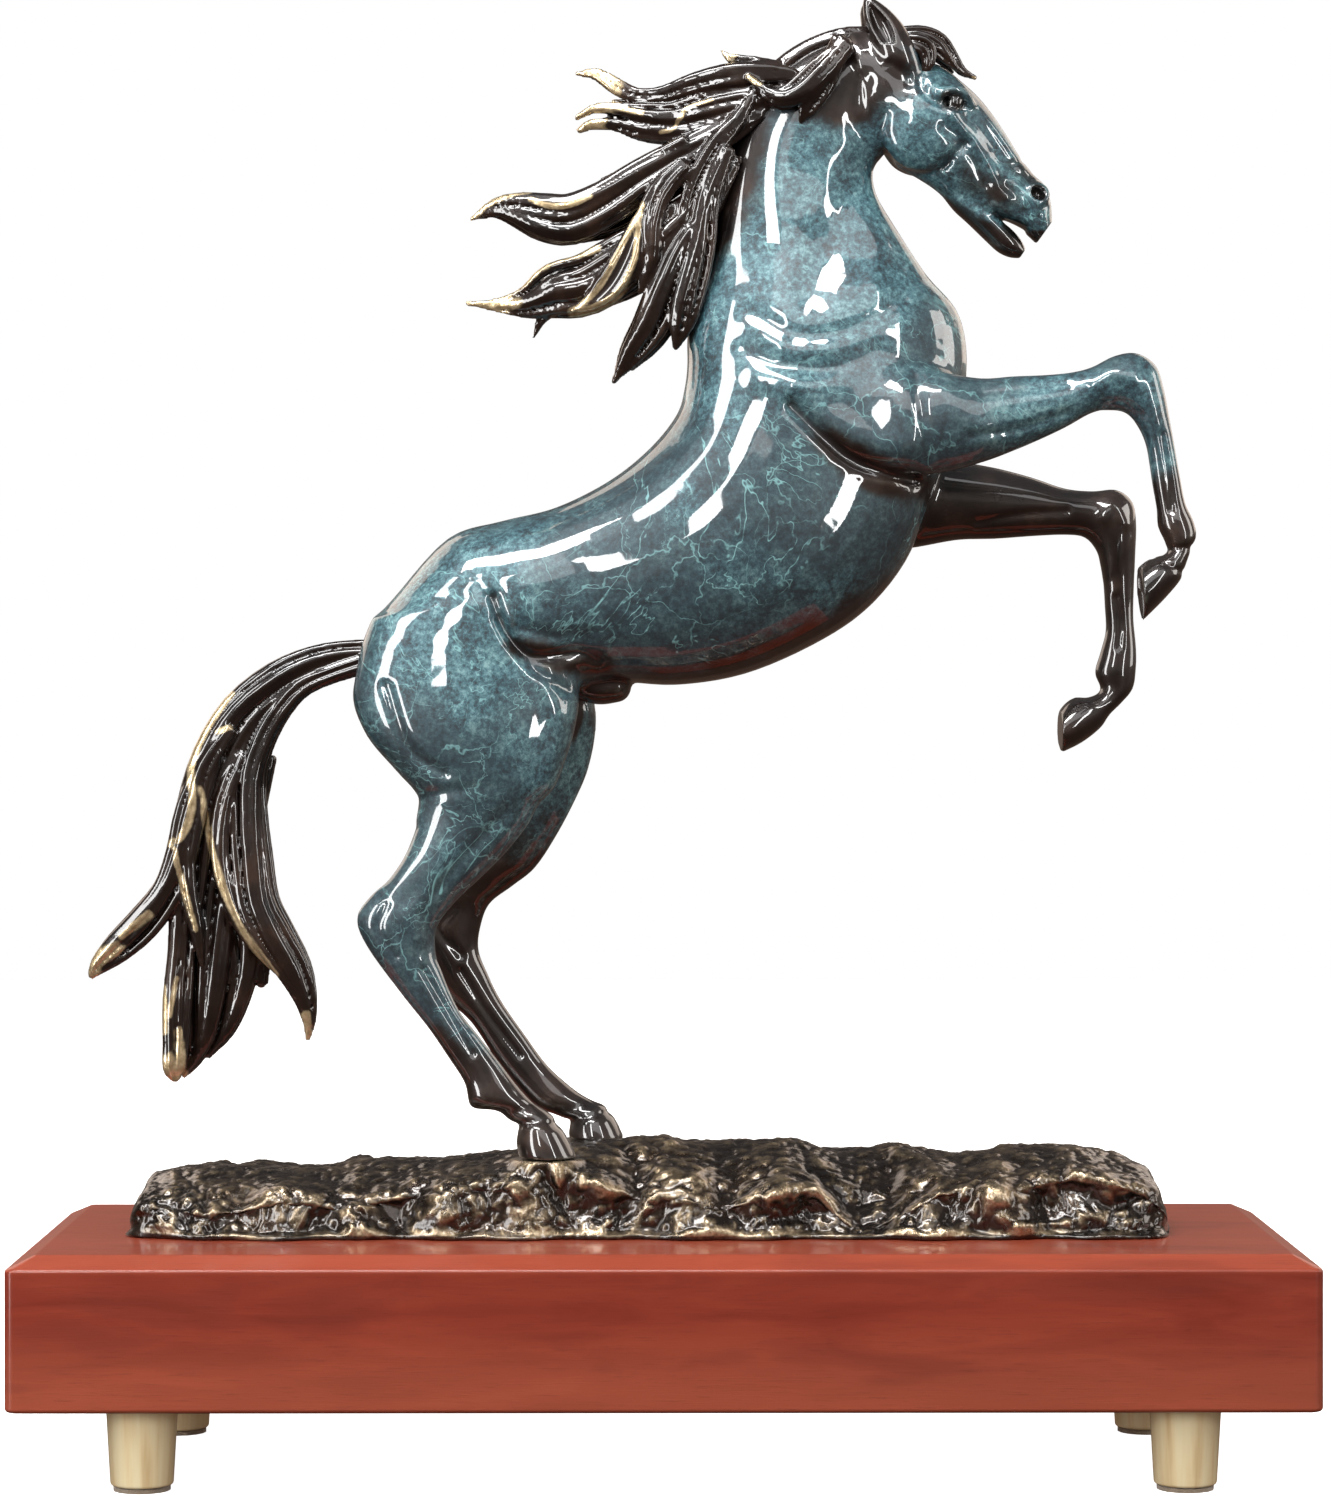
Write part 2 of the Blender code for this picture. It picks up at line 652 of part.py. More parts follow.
def make_bolts(parts, materials):
    ceiling = PLINTH_BOTTOM + COUNTERBORE_DEPTH
    washer_low = ceiling - GAP - 1.5
    head_top = washer_low - GAP
    profile = ((0, head_top - 6), (5.0, head_top - 6), (5.0, head_top), (BOLT_R, head_top),
               (BOLT_R, BOLT_TIP), (0, BOLT_TIP))
    for i, place in enumerate(BOLT_PLACES):
        washer(f"base_washer_{i + 1}", parts, materials, place, washer_low, ceiling - GAP, 9.0, BOLT_R + GAP)
        turned(f"base_bolt_{i + 1}", parts, materials["steel"], place, profile, sides=12)


def make_hoof_fixings(parts, materials):
    for side, (x, y, sole) in HOOVES.items():
        cylinder(f"{side}_hoof_stud", parts, materials["steel"], (x, y), PAD_UNDER_HOOF_Z - 11,
                 sole + 10, HOOF_STUD_R, sides=12)
        high = PAD_UNDER_HOOF_Z - GAP
        washer(f"{side}_hoof_washer", parts, materials, (x, y), high - 1.5, high, 6.2, HOOF_STUD_R + GAP)
        top = high - 1.5 - GAP
        bm = bmesh.new()
        add_cylinder(bm, (x, y), top - 5, top, 5.8, sides=6)
        nut = to_object(f"{side}_hoof_nut", bm, parts, materials["steel"])
        bore = cylinder(f"{side}_nut_bore", bpy.data.collections["cutters"], None, (x, y), top - 8,
                        top + 3, HOOF_STUD_R + GAP, sides=12)
        boolean(nut, hide_cutter(bore), "DIFFERENCE")
        round_shading(nut)


def main():
    clear_scene()
    parts = new_collection("bronze_horse")
    cutters = new_collection("cutters")
    materials = make_materials()
    skin = make_horse(parts, cutters, materials)
    make_hair(parts, cutters, materials, skin)
    make_rock(parts, cutters, materials)
    make_plinth(parts, cutters, materials)
    make_feet(parts, materials)
    make_bolts(parts, materials)
    make_hoof_fixings(parts, materials)


main()
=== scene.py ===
"""Looks of the bronze rearing horse: sculpted castings, hair, rock, wooden plinth and fittings.

Shapes are worked in millimetres in the frame's own axes (+X the way the horse faces, +Y to its
left, +Z up, origin on the floor) and turned into metres when a mesh is made.
"""

import math

import bmesh
import bpy
import numpy as np
import openvdb as vdb
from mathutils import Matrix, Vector, noise


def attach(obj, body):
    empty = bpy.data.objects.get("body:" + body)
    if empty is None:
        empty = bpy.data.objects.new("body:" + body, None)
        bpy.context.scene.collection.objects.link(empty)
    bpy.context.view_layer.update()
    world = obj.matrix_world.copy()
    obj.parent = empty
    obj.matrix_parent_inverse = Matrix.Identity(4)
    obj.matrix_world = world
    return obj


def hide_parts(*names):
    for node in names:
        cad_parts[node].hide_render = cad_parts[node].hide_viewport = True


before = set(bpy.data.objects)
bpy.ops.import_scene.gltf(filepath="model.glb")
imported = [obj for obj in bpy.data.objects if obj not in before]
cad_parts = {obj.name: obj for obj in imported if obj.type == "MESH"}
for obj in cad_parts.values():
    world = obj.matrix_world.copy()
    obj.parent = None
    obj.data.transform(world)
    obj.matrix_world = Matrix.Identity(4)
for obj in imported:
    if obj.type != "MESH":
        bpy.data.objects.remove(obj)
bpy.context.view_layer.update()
MM = 0.001
EVERYTHING = -1000.0  # a height below all there is
noise.seed_set(1)  # without a seed noise_vector differs from run to run


# ================================================================ sculpting tools


def smooth_rows(rows, steps):
    """Catmull-Rom curve through rows of numbers, `steps` rows for each span."""
    rows = np.asarray(rows, float)
    padded = np.vstack([2 * rows[0] - rows[1], rows, 2 * rows[-1] - rows[-2]])
    t = np.linspace(0, 1, steps, endpoint=False)[:, None]
    spans = []
    for a, b, c, d in zip(padded, padded[1:], padded[2:], padded[3:]):
        curve = 2 * b + (c - a) * t + (2 * a - 5 * b + 4 * c - d) * t**2 + (3 * b - a - 3 * c + d) * t**3
        spans.append(curve / 2)
    return np.vstack([*spans, rows[-1:]])


def loft_mesh(stations, fullness=1.0, sides=40, steps=5):
    """Points, quads and triangles of a closed loft through oval stations.

    A station is (front x, front z, back x, back z, half width, side offset). A fullness under 1
    squares the oval off, over 1 pinches it.
    """
    rows = smooth_rows(stations, steps)
    turn = np.linspace(0, 2 * np.pi, sides, endpoint=False)
    along, across = np.cos(turn), np.sin(turn)
    across = np.sign(across) * np.abs(across) ** fullness
    along = np.sign(along) * np.abs(along) ** fullness
    middle = (rows[:, [0, 1]] + rows[:, [2, 3]]) / 2
    reach = (rows[:, [0, 1]] - rows[:, [2, 3]]) / 2
    points = np.empty((len(rows), sides, 3))
    points[..., 0] = middle[:, :1] + reach[:, :1] * along
    points[..., 2] = middle[:, 1:] + reach[:, 1:] * along
    points[..., 1] = rows[:, 5:6] + np.abs(rows[:, 4:5]) * across
    ends = np.vstack([points[0].mean(0), points[-1].mean(0)])
    index = np.arange(len(rows) * sides).reshape(len(rows), sides)
    right = np.roll(index, -1, axis=1)
    quads = np.stack([index[:-1], right[:-1], right[1:], index[1:]], -1).reshape(-1, 4)
    first, last = len(rows) * sides, len(rows) * sides + 1
    cap_low = np.stack([np.full(sides, first), right[0], index[0]], -1)
    cap_high = np.stack([np.full(sides, last), index[-1], right[-1]], -1)
    return np.vstack([points.reshape(-1, 3), ends]), quads, np.vstack([cap_low, cap_high])


def melt(a, b, blend):
    """Smooth minimum of two distances."""
    if blend <= 0:
        return np.minimum(a, b)
    h = np.clip(0.5 + 0.5 * (b - a) / blend, 0, 1)
    return b + (a - b) * h - blend * h * (1 - h)


def line_gap(x, z, start, end):
    """At each (x, z): how far along the line the nearest point is, 0 to 1, and its squared distance."""
    (x0, z0), (x1, z1) = start, end
    run = max((x1 - x0) ** 2 + (z1 - z0) ** 2, 1e-6)
    t = np.clip(((x - x0) * (x1 - x0) + (z - z0) * (z1 - z0)) / run, 0, 1)
    return t, (x - x0 - (x1 - x0) * t) ** 2 + (z - z0 - (z1 - z0) * t) ** 2


class Block:
    """A block of space, in millimetres, that holds the signed distance to a sculpted form."""

    FAR = 12.0

    def __init__(self, low, high, voxel):
        self.voxel = voxel
        self.first = np.floor(np.array(low) / voxel).astype(int)
        last = np.ceil(np.array(high) / voxel).astype(int)
        self.shape = tuple(last - self.first + 1)
        self.field = np.full(self.shape, self.FAR, np.float32)

    def window(self, low, high):
        """Slices and coordinates of the voxels between two corners, or None."""
        start = np.clip(np.floor(np.array(low) / self.voxel).astype(int) - self.first, 0, self.shape)
        stop = np.clip(np.ceil(np.array(high) / self.voxel).astype(int) + 1 - self.first, 0, self.shape)
        if np.any(stop <= start):
            return None
        cut = tuple(slice(a, b) for a, b in zip(start, stop))
        axes = [(np.arange(a, b) + f) * self.voxel for a, b, f in zip(start, stop, self.first)]
        x, y, z = (g.astype(np.float32) for g in np.meshgrid(*axes, indexing="ij", sparse=True))
        return cut, x, y, z

    def join(self, cut, distance, blend, carve):
        """Melt a form into what is there, or carve it out."""
        sign = -1 if carve else 1
        self.field[cut] = sign * melt(sign * self.field[cut], distance.astype(np.float32), blend)

    def loft(self, stations, blend, fullness=1.0, carve=False):
        """A closed loft through oval stations, as loft_mesh has them."""
        points, quads, triangles = loft_mesh(stations, fullness)
        low, high = points.min(0) - self.FAR, points.max(0) + self.FAR
        found = self.window(low, high)
        if found is None:
            return
        cut = found[0]
        band = max(3.0, self.FAR / self.voxel)
        grid = vdb.FloatGrid.createLevelSetFromPolygons(
            points.astype(np.float32), triangles=triangles.astype(np.uint32),
            quads=quads.astype(np.uint32),
            transform=vdb.createLinearTransform(voxelSize=self.voxel), halfWidth=band)
        distance = np.empty([s.stop - s.start for s in cut], np.float32)
        start = [int(s.start + f) for s, f in zip(cut, self.first)]
        grid.copyToArray(distance, ijk=start)
        self.join(cut, distance, blend, carve)

    def limbs(self, limbs, blend):
        """Melt each limb into what is there, but not into its neighbours."""
        trunk = self.field.copy()
        joined = trunk
        for stations in limbs:
            self.field = trunk.copy()
            self.loft(stations, blend)
            joined = np.minimum(joined, self.field)
        self.field = joined

    def rod(self, points, radii, blend, flat=1.0, steps=6, carve=False):
        """A round tapering rod through points; `flat` under 1 makes it thinner in Y."""
        rows = smooth_rows(np.column_stack([points, radii]), steps)
        rows[:, 3] = np.maximum(rows[:, 3], 0.05)
        reach = rows[:, 3].max() + self.FAR / 2
        found = self.window(rows[:, :3].min(0) - reach, rows[:, :3].max(0) + reach)
        if found is None:
            return
        cut = found[0]
        distance = np.full([s.stop - s.start for s in cut], self.FAR, np.float32)
        for start, end in zip(rows, rows[1:]):
            self._segment(distance, cut, start, end, flat)
        self.join(cut, distance, blend, carve)

    def _segment(self, distance, outer, start, end, flat):
        """Bring one straight length of a rod into the distances of the window `outer`."""
        reach = max(start[3], end[3]) + self.FAR / 2
        found = self.window(np.minimum(start[:3], end[:3]) - reach, np.maximum(start[:3], end[:3]) + reach)
        if found is None:
            return
        cut, x, y, z = found
        inner = tuple(slice(c.start - o.start, c.stop - o.start) for c, o in zip(cut, outer))
        run = end[:3] - start[:3]
        length2 = max(float(run @ run), 1e-6)
        t = ((x - start[0]) * run[0] + (y - start[1]) * run[1] + (z - start[2]) * run[2]) / length2
        t = np.clip(t, 0, 1)
        gap_y = (y - start[1] - run[1] * t) / flat
        gap = np.sqrt((x - start[0] - run[0] * t) ** 2 + gap_y**2 + (z - start[2] - run[2] * t) ** 2)
        gap -= start[3] + (end[3] - start[3]) * t
        distance[inner] = np.minimum(distance[inner], gap * min(1.0, (1 + flat) / 2))

    def ball(self, centre, radii, turn=0.0, blend=4.0, carve=False):
        """An ellipsoid; `turn` degrees lifts its long X axis towards +Z."""
        reach = max(radii) + self.FAR / 2
        found = self.window(np.array(centre) - reach, np.array(centre) + reach)
        if found is None:
            return
        cut, x, y, z = found
        c, s = math.cos(math.radians(turn)), math.sin(math.radians(turn))
        dx, dz = x - centre[0], z - centre[2]
        u, v, w = (dx * c + dz * s), (y - centre[1]), (dz * c - dx * s)
        k0 = np.sqrt((u / radii[0]) ** 2 + (v / radii[1]) ** 2 + (w / radii[2]) ** 2)
        k1 = np.sqrt((u / radii[0] ** 2) ** 2 + (v / radii[1] ** 2) ** 2 + (w / radii[2] ** 2) ** 2)
        self.join(cut, k0 * (k0 - 1) / np.maximum(k1, 1e-6), blend, carve)

    def stroke(self, points, radius, lift, side):
        """Push the skin out (lift > 0) or in along a line drawn on the side view.

        points are (x, z) or (x, z, strength). side -1 works on the right flank only, +1 on the
        left, 0 on both.
        """
        points = np.array([(*p, 1.0)[:3] for p in points], float)
        rows = smooth_rows(points, 6)
        reach = 2.2 * radius
        low = (rows[:, 0].min() - reach, -200, rows[:, 1].min() - reach)
        high = (rows[:, 0].max() + reach, 200, rows[:, 1].max() + reach)
        found = self.window(low, high)
        if found is None:
            return
        cut, x, y, z = found
        best = np.zeros([cut[0].stop - cut[0].start, 1, cut[2].stop - cut[2].start], np.float32)
        for start, end in zip(rows, rows[1:]):
            t, gap2 = line_gap(x, z, start[:2], end[:2])
            best = np.maximum(best, np.exp(-gap2 / radius**2) * (start[2] + (end[2] - start[2]) * t))
        if side:
            best = best * np.clip(y * side / 6.0, 0, 1)
        self.field[cut] -= (lift * best).astype(np.float32)

    def normals(self, points):
        """Outward unit normals of the field at points in millimetres."""
        g = points / self.voxel - self.first
        base = np.clip(np.floor(g).astype(int), 1, np.array(self.shape) - 3)
        share = g - base
        slope = np.zeros((len(points), 3))
        for axis in range(3):
            step = np.zeros(3, int)
            step[axis] = 1
            for corner in np.ndindex(2, 2, 2):
                weight = np.prod(np.where(corner, share, 1 - share), axis=1)
                at = base + corner
                ahead = self.field[tuple((at + step).T)]
                behind = self.field[tuple((at - step).T)]
                slope[:, axis] += weight * (ahead - behind)
        return slope / np.maximum(np.linalg.norm(slope, axis=1, keepdims=True), 1e-9)

    def skin(self, smoothing=2):
        """Vertices (millimetres) and quads of the form's surface."""
        grid = vdb.FloatGrid(self.FAR)
        field = np.pad(self.field, 1, constant_values=self.FAR)
        grid.copyFromArray(field)
        points, quads = grid.convertToQuads(0.0)
        points = (points.astype(float) - 1 + self.first) * self.voxel
        quads = quads.astype(int)
        for _ in range(smoothing):
            points = relax(points, quads, 0.5)
        return points, quads


def relax(points, quads, share):
    """Move each point part of the way to the middle of its neighbours."""
    total = np.zeros_like(points)
    count = np.zeros(len(points))
    for a, b in ((0, 1), (1, 2), (2, 3), (3, 0)):
        for p, q in ((a, b), (b, a)):
            np.add.at(total, quads[:, p], points[quads[:, q]])
            np.add.at(count, quads[:, p], 1)
    middle = total / np.maximum(count, 1)[:, None]
    return points + (middle - points) * share


def make_mesh(name, points, faces):
    """An object from points in millimetres."""
    mesh = bpy.data.meshes.new(name)
    mesh.from_pydata((np.asarray(points) * MM).tolist(), [], faces)
    mesh.update()
    obj = bpy.data.objects.new(name, mesh)
    bpy.context.scene.collection.objects.link(obj)
    return obj


def read(items, key, width, kind=float):
    """A property of every vertex, corner or face of a mesh: a row of `width` numbers each."""
    values = np.empty(len(items) * width, kind)
    items.foreach_get(key, values)
    return values.reshape(-1, width)


def cut_off(obj, point, normal, above=EVERYTHING):
    """Cut an object with a plane, keep the side the normal points away from, and close it.

    Only what lies higher than `above` is cut.
    """
    bm = bmesh.new()
    bm.from_mesh(obj.data)
    verts = [v for v in bm.verts if v.co.z > above * MM]
    edges = [e for e in bm.edges if min(v.co.z for v in e.verts) > above * MM]
    faces = [f for f in bm.faces if min(v.co.z for v in f.verts) > above * MM]
    geometry = [*verts, *edges, *faces]
    cut = bmesh.ops.bisect_plane(bm, geom=geometry, dist=1e-7, plane_co=Vector(point) * MM,
                                 plane_no=normal, clear_outer=True)
    rim = [e for e in cut["geom_cut"] if isinstance(e, bmesh.types.BMEdge)]
    bmesh.ops.holes_fill(bm, edges=rim)
    bm.to_mesh(obj.data)
    bm.free()


def keep_largest(obj):
    """Remove every piece of a mesh but the one with the most vertices."""
    bm = bmesh.new()
    bm.from_mesh(obj.data)
    seen = set()
    largest = []
    for start in bm.verts:
        if start in seen:
            continue
        seen.add(start)
        island = [start]
        for vert in island:
            for edge in vert.link_edges:
                other = edge.other_vert(vert)
                if other not in seen:
                    seen.add(other)
                    island.append(other)
        if len(island) > len(largest):
            largest = island
    kept = set(largest)
    bmesh.ops.delete(bm, geom=[v for v in bm.verts if v not in kept], context="VERTS")
    bm.to_mesh(obj.data)
    bm.free()


def shade_from(obj, block, planes):
    """Smooth shading with the sculpt's own normals, so that neighbouring castings match."""
    mesh = obj.data
    mesh.shade_smooth()
    vertex_normals = block.normals(read(mesh.vertices, "co", 3) / MM)
    corner_normals = vertex_normals[read(mesh.loops, "vertex_index", 1, int)[:, 0]]
    sizes = read(mesh.polygons, "loop_total", 1, int)[:, 0]
    face_normals = np.repeat(read(mesh.polygons, "normal", 3), sizes, axis=0)
    centres = np.repeat(read(mesh.polygons, "center", 3) / MM, sizes, axis=0)
    for point, normal in planes:
        normal = np.array(normal, float) / np.linalg.norm(normal)
        on_plane = np.abs((centres - point) @ normal) < 0.02
        on_plane &= face_normals @ normal > 0.99
        corner_normals[on_plane] = face_normals[on_plane]
    mesh.normals_split_custom_set(corner_normals.tolist())


def set_attribute(obj, name, values):
    """Store one number per vertex for the materials to read."""
    attribute = obj.data.attributes.new(name, "FLOAT", "POINT")
    attribute.data.foreach_set("value", np.asarray(values, np.float32))


def place(obj, material, slot, *nodes):
    """Give a piece its material and tie it to the frame."""
    obj.data.materials.clear()
    obj.data.materials.append(material)
    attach(obj, "root")
    if nodes:
        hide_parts(*nodes)
    return obj


# ================================================================ the horse's forms

# Stations are (front x, front z, back x, back z, half width, side offset), as loft_mesh has them
BODY = (
    (-111, 306, -112, 286, 16, 0), (-107, 313, -108, 276, 24, 0), (-100, 321, -97, 272, 29, 0),
    (-80, 343, -62, 283, 33, 0), (-60, 349.5, -38, 286, 34, 0), (-40, 354.5, -18, 289.5, 33, 0),
    (-20, 364.5, 5, 288.5, 35, 0), (-5, 376.5, 30, 292.5, 38, 0), (5, 389, 55, 303, 39, 0),
    (8, 399, 75, 316, 38, 0), (9, 408, 90, 334, 36, 0), (9, 418, 99, 356, 34, 0),
    (11, 430, 112, 396, 31, 0), (14, 440, 111, 424, 26, 0), (17, 455, 98, 441, 20, 0),
    (19, 468, 88, 456, 17.5, 0), (22, 482, 80, 468, 15.5, 0), (27, 498, 78, 477, 14, 0),
    (38, 514, 80, 483, 13, 0), (55, 526, 84, 487, 12, 0), (75, 532, 91, 490, 12, 0),
)
HEAD = (
    (70, 531, 80, 487, 12, 0), (92, 522, 84, 486, 14, 0), (103, 519, 86, 481, 15.5, 0),
    (111, 513, 91, 478, 15, 0), (117, 507.5, 98, 475, 13.5, 0), (122, 501.5, 104, 470.5, 12, 0),
    (127.5, 493.5, 110, 465, 10.5, 0), (133, 484.5, 116, 461.5, 9.5, 0), (137.8, 478.5, 121, 460, 9.5, 0),
    (141.5, 475, 128, 460, 9.5, 0), (144.2, 468.5, 134, 457.2, 8.5, 0), (144.8, 461, 139, 452.8, 5.5, 0),
)
LOWER_JAW = (
    (111, 476, 103, 473.5, 5, 0), (116, 471, 107.5, 466, 7, 0), (121.4, 466, 113.6, 460.2, 7.5, 0),
    (126.4, 461.6, 120, 454, 7.2, 0), (130.4, 457.6, 124.6, 449.8, 6.6, 0),
    (133.2, 454.2, 128.8, 447.8, 5.4, 0), (135, 450.8, 132.8, 447.4, 3, 0),
)
HIND_RIGHT = (
    (-42, 318, -106, 312, 12, -18), (-36, 300, -109, 298, 17, -18), (-31, 284.5, -114, 284, 18.5, -18.5),
    (-34, 268.5, -109, 269.5, 17.5, -20), (-40, 252.5, -98, 256.5, 15.5, -20.5),
    (-46, 244, -91, 248.5, 13.5, -21), (-50, 236.5, -90.5, 241, 12, -21),
    (-58, 226.5, -94.5, 228, 10.5, -21.5), (-67.5, 217, -100.5, 219, 9, -22),
    (-75.5, 209.5, -107, 211.5, 8, -22), (-83, 199.5, -112.5, 203, 8.5, -22),
    (-83.5, 189.5, -109, 192.5, 8, -22), (-81.5, 183.5, -96, 174.5, 6.2, -22),
    (-75.5, 169.5, -86.5, 162.5, 5.2, -22), (-67.5, 159, -79, 151.5, 5, -22),
    (-60.5, 150, -73, 142, 5.5, -22), (-54, 141.5, -70.5, 133, 7, -22),
    (-48.5, 135.5, -61.5, 131, 6.2, -22), (-42.5, 131.5, -55, 127.5, 6.8, -22),
    (-39.5, 128.5, -53.5, 125.5, 8.8, -22), (-35, 121.5, -54, 120, 10.8, -22),
    (-31.5, 114.6, -53, 114.6, 12, -22),
)
HIND_LEFT = (
    (-36, 318, -100, 312, 12, 18), (-30, 300, -104, 298, 17, 18), (-25.5, 281, -105.5, 281, 18, 18.5),
    (-25.5, 269.5, -100.5, 267.5, 17, 20), (-28, 257.5, -92.5, 253, 15, 20.5),
    (-32, 247.5, -83.5, 243, 13.5, 21), (-39.5, 233, -80.5, 231, 11.5, 21),
    (-48, 220, -84.5, 221, 9.5, 21.5), (-56.5, 213, -90.5, 213, 8.5, 22),
    (-65.5, 206, -97.5, 204, 8.2, 22), (-69, 196.5, -99.5, 195.5, 8.5, 22),
    (-69.5, 188.5, -93.5, 183.5, 7.6, 22), (-66.5, 180.5, -83, 171, 6, 22),
    (-61, 169.5, -72.5, 161.5, 5.2, 22), (-52, 156.5, -63.5, 148, 5, 22), (-43.5, 145, -55, 137, 5.5, 22),
    (-33.5, 136, -48, 129.5, 7, 22), (-27, 132, -40.5, 126.5, 6.2, 22),
    (-21.5, 129.5, -35.5, 124, 8.8, 22), (-17.5, 124, -35.5, 120, 10.8, 22),
    (-14.5, 117.6, -35.5, 117.6, 12, 22),
)
FORE_RIGHT = (
    (60, 404, 66, 362, 10, -21), (80, 405, 80, 363, 13, -23), (98, 403.5, 91, 364.5, 13.5, -24),
    (116, 400.8, 106.5, 367, 12.5, -24), (128, 401.5, 120, 371, 11, -24),
    (140, 402, 134, 376.5, 9.5, -24), (150, 403, 147, 382.5, 8.2, -24), (157.5, 405, 157, 388, 7.6, -24),
    (165.5, 409, 163.5, 389, 8.4, -24), (173.5, 410, 168.5, 388.5, 8.8, -24),
    (180.5, 405.5, 172, 386, 8.6, -24), (183.5, 397, 175, 381.5, 7.6, -24),
    (185.5, 387, 177, 376.5, 6.2, -24), (187.3, 377.5, 178, 371.5, 5.4, -24),
    (189.5, 365, 179.5, 361.5, 5, -24), (191.5, 355, 181, 353, 5.2, -24),
    (194.5, 348.5, 181.5, 346.5, 6.4, -24), (195.5, 343, 184, 341, 6.6, -24),
    (193.5, 337.5, 184.5, 338, 6, -24), (191.7, 332.5, 183.5, 336, 7, -24),
    (189.8, 327, 180.5, 335.5, 8.6, -24), (184, 320, 177.5, 334, 10.4, -24),
    (176, 312, 174.3, 331.5, 11.5, -24),
)
FORE_LEFT = (
    (62, 380, 70, 338, 10, 21), (80, 378, 84, 339, 13, 23), (100, 376, 97.5, 341, 13.5, 24),
    (114, 373, 111.5, 343.5, 12, 24), (127, 370.5, 126, 344, 10.5, 24), (140, 367, 140, 345, 9, 24),
    (152, 363, 152, 345.5, 8, 24), (162.5, 362, 159.5, 344.5, 8, 24), (171.5, 362.5, 164, 339.5, 8.8, 24),
    (177.5, 358, 165.5, 334, 8.6, 24), (179, 349.5, 166.5, 328, 7.6, 24),
    (178.7, 338, 166.8, 325, 6.2, 24), (178.2, 326, 167.2, 318, 5.4, 24), (178, 314, 167.5, 309, 5, 24),
    (179, 303, 165.5, 301, 5.8, 24), (179, 295.5, 163.5, 293.5, 6.6, 24),
    (177.8, 287.5, 165.5, 288, 6, 24), (173.5, 282, 164.5, 285.5, 6, 24), (169, 277.5, 160.5, 284, 7, 24),
    (165.5, 272.5, 156, 284, 8.6, 24), (158.5, 267, 152.5, 282, 10.4, 24),
    (150.5, 263, 150, 279, 11.5, 24),
)
EAR = (
    (99, 506, 85, 506, 3, -5), (97, 513, 82, 512.5, 5, -2), (95, 519, 80, 519, 5.8, 0),
    (93.2, 525, 78, 526, 5.6, 0), (90.3, 530.5, 76, 531, 4.8, 0), (87.4, 534.5, 74.3, 535, 4, 0),
    (83.5, 538.5, 73.8, 538.8, 3, 0), (79, 541.8, 74, 541.8, 1.8, 0), (75.8, 543.4, 75, 543.4, 0.5, 0),
)
EAR_OPENING = (
    (85.5, 525, 81, 525.5, 2.2, 0), (85, 529, 77.6, 530.5, 3.4, 0), (83, 533.5, 76, 535, 3.6, 0),
    (80, 537.5, 75.4, 538.6, 2.8, 0), (77, 541, 75.6, 541.3, 1.2, 0),
)
EYE = (107.4, 11.0, 503.6)
NOSTRIL = (139.0, 9.2, 470.6)

# A stroke is (radius, lift, side, (x, z) or (x, z, strength)...), with side as Block.stroke has it
TRUNK_FOLDS = (
    # shoulder, chest, belly and flank
    (2.6, -2.6, -1, (47, 390), (57, 380), (67, 371.5), (78, 367), (92, 364)),
    (5.5, 1.6, -1, (48, 396), (60, 386), (72, 378), (86, 374)),
    (2.4, -1.2, -1, (92, 400), (93.5, 386), (96, 371)),
    (5.0, 0.9, -1, (103, 396), (110, 386), (118, 379)),
    (3.0, -0.9, 0, (30, 411), (44, 405), (60, 404), (78, 411)),
    (3.4, -0.8, 0, (32, 425), (50, 416), (70, 419), (88, 430)),
    (3.4, 0.6, 0, (34, 418), (46, 411), (60, 411)), (4.6, 1.2, 0, (34, 400), (48, 398), (60, 397)),
    (2.2, -2.2, 0, (-62, 320), (-56, 305), (-46, 298.5), (-32, 300.5), (-24, 298)),
    (3.2, -1.2, 0, (-52, 309), (-40, 306), (-28, 306)),
    (2.0, -1.2, 0, (-60, 312), (-49, 296), (-36, 286)),
)
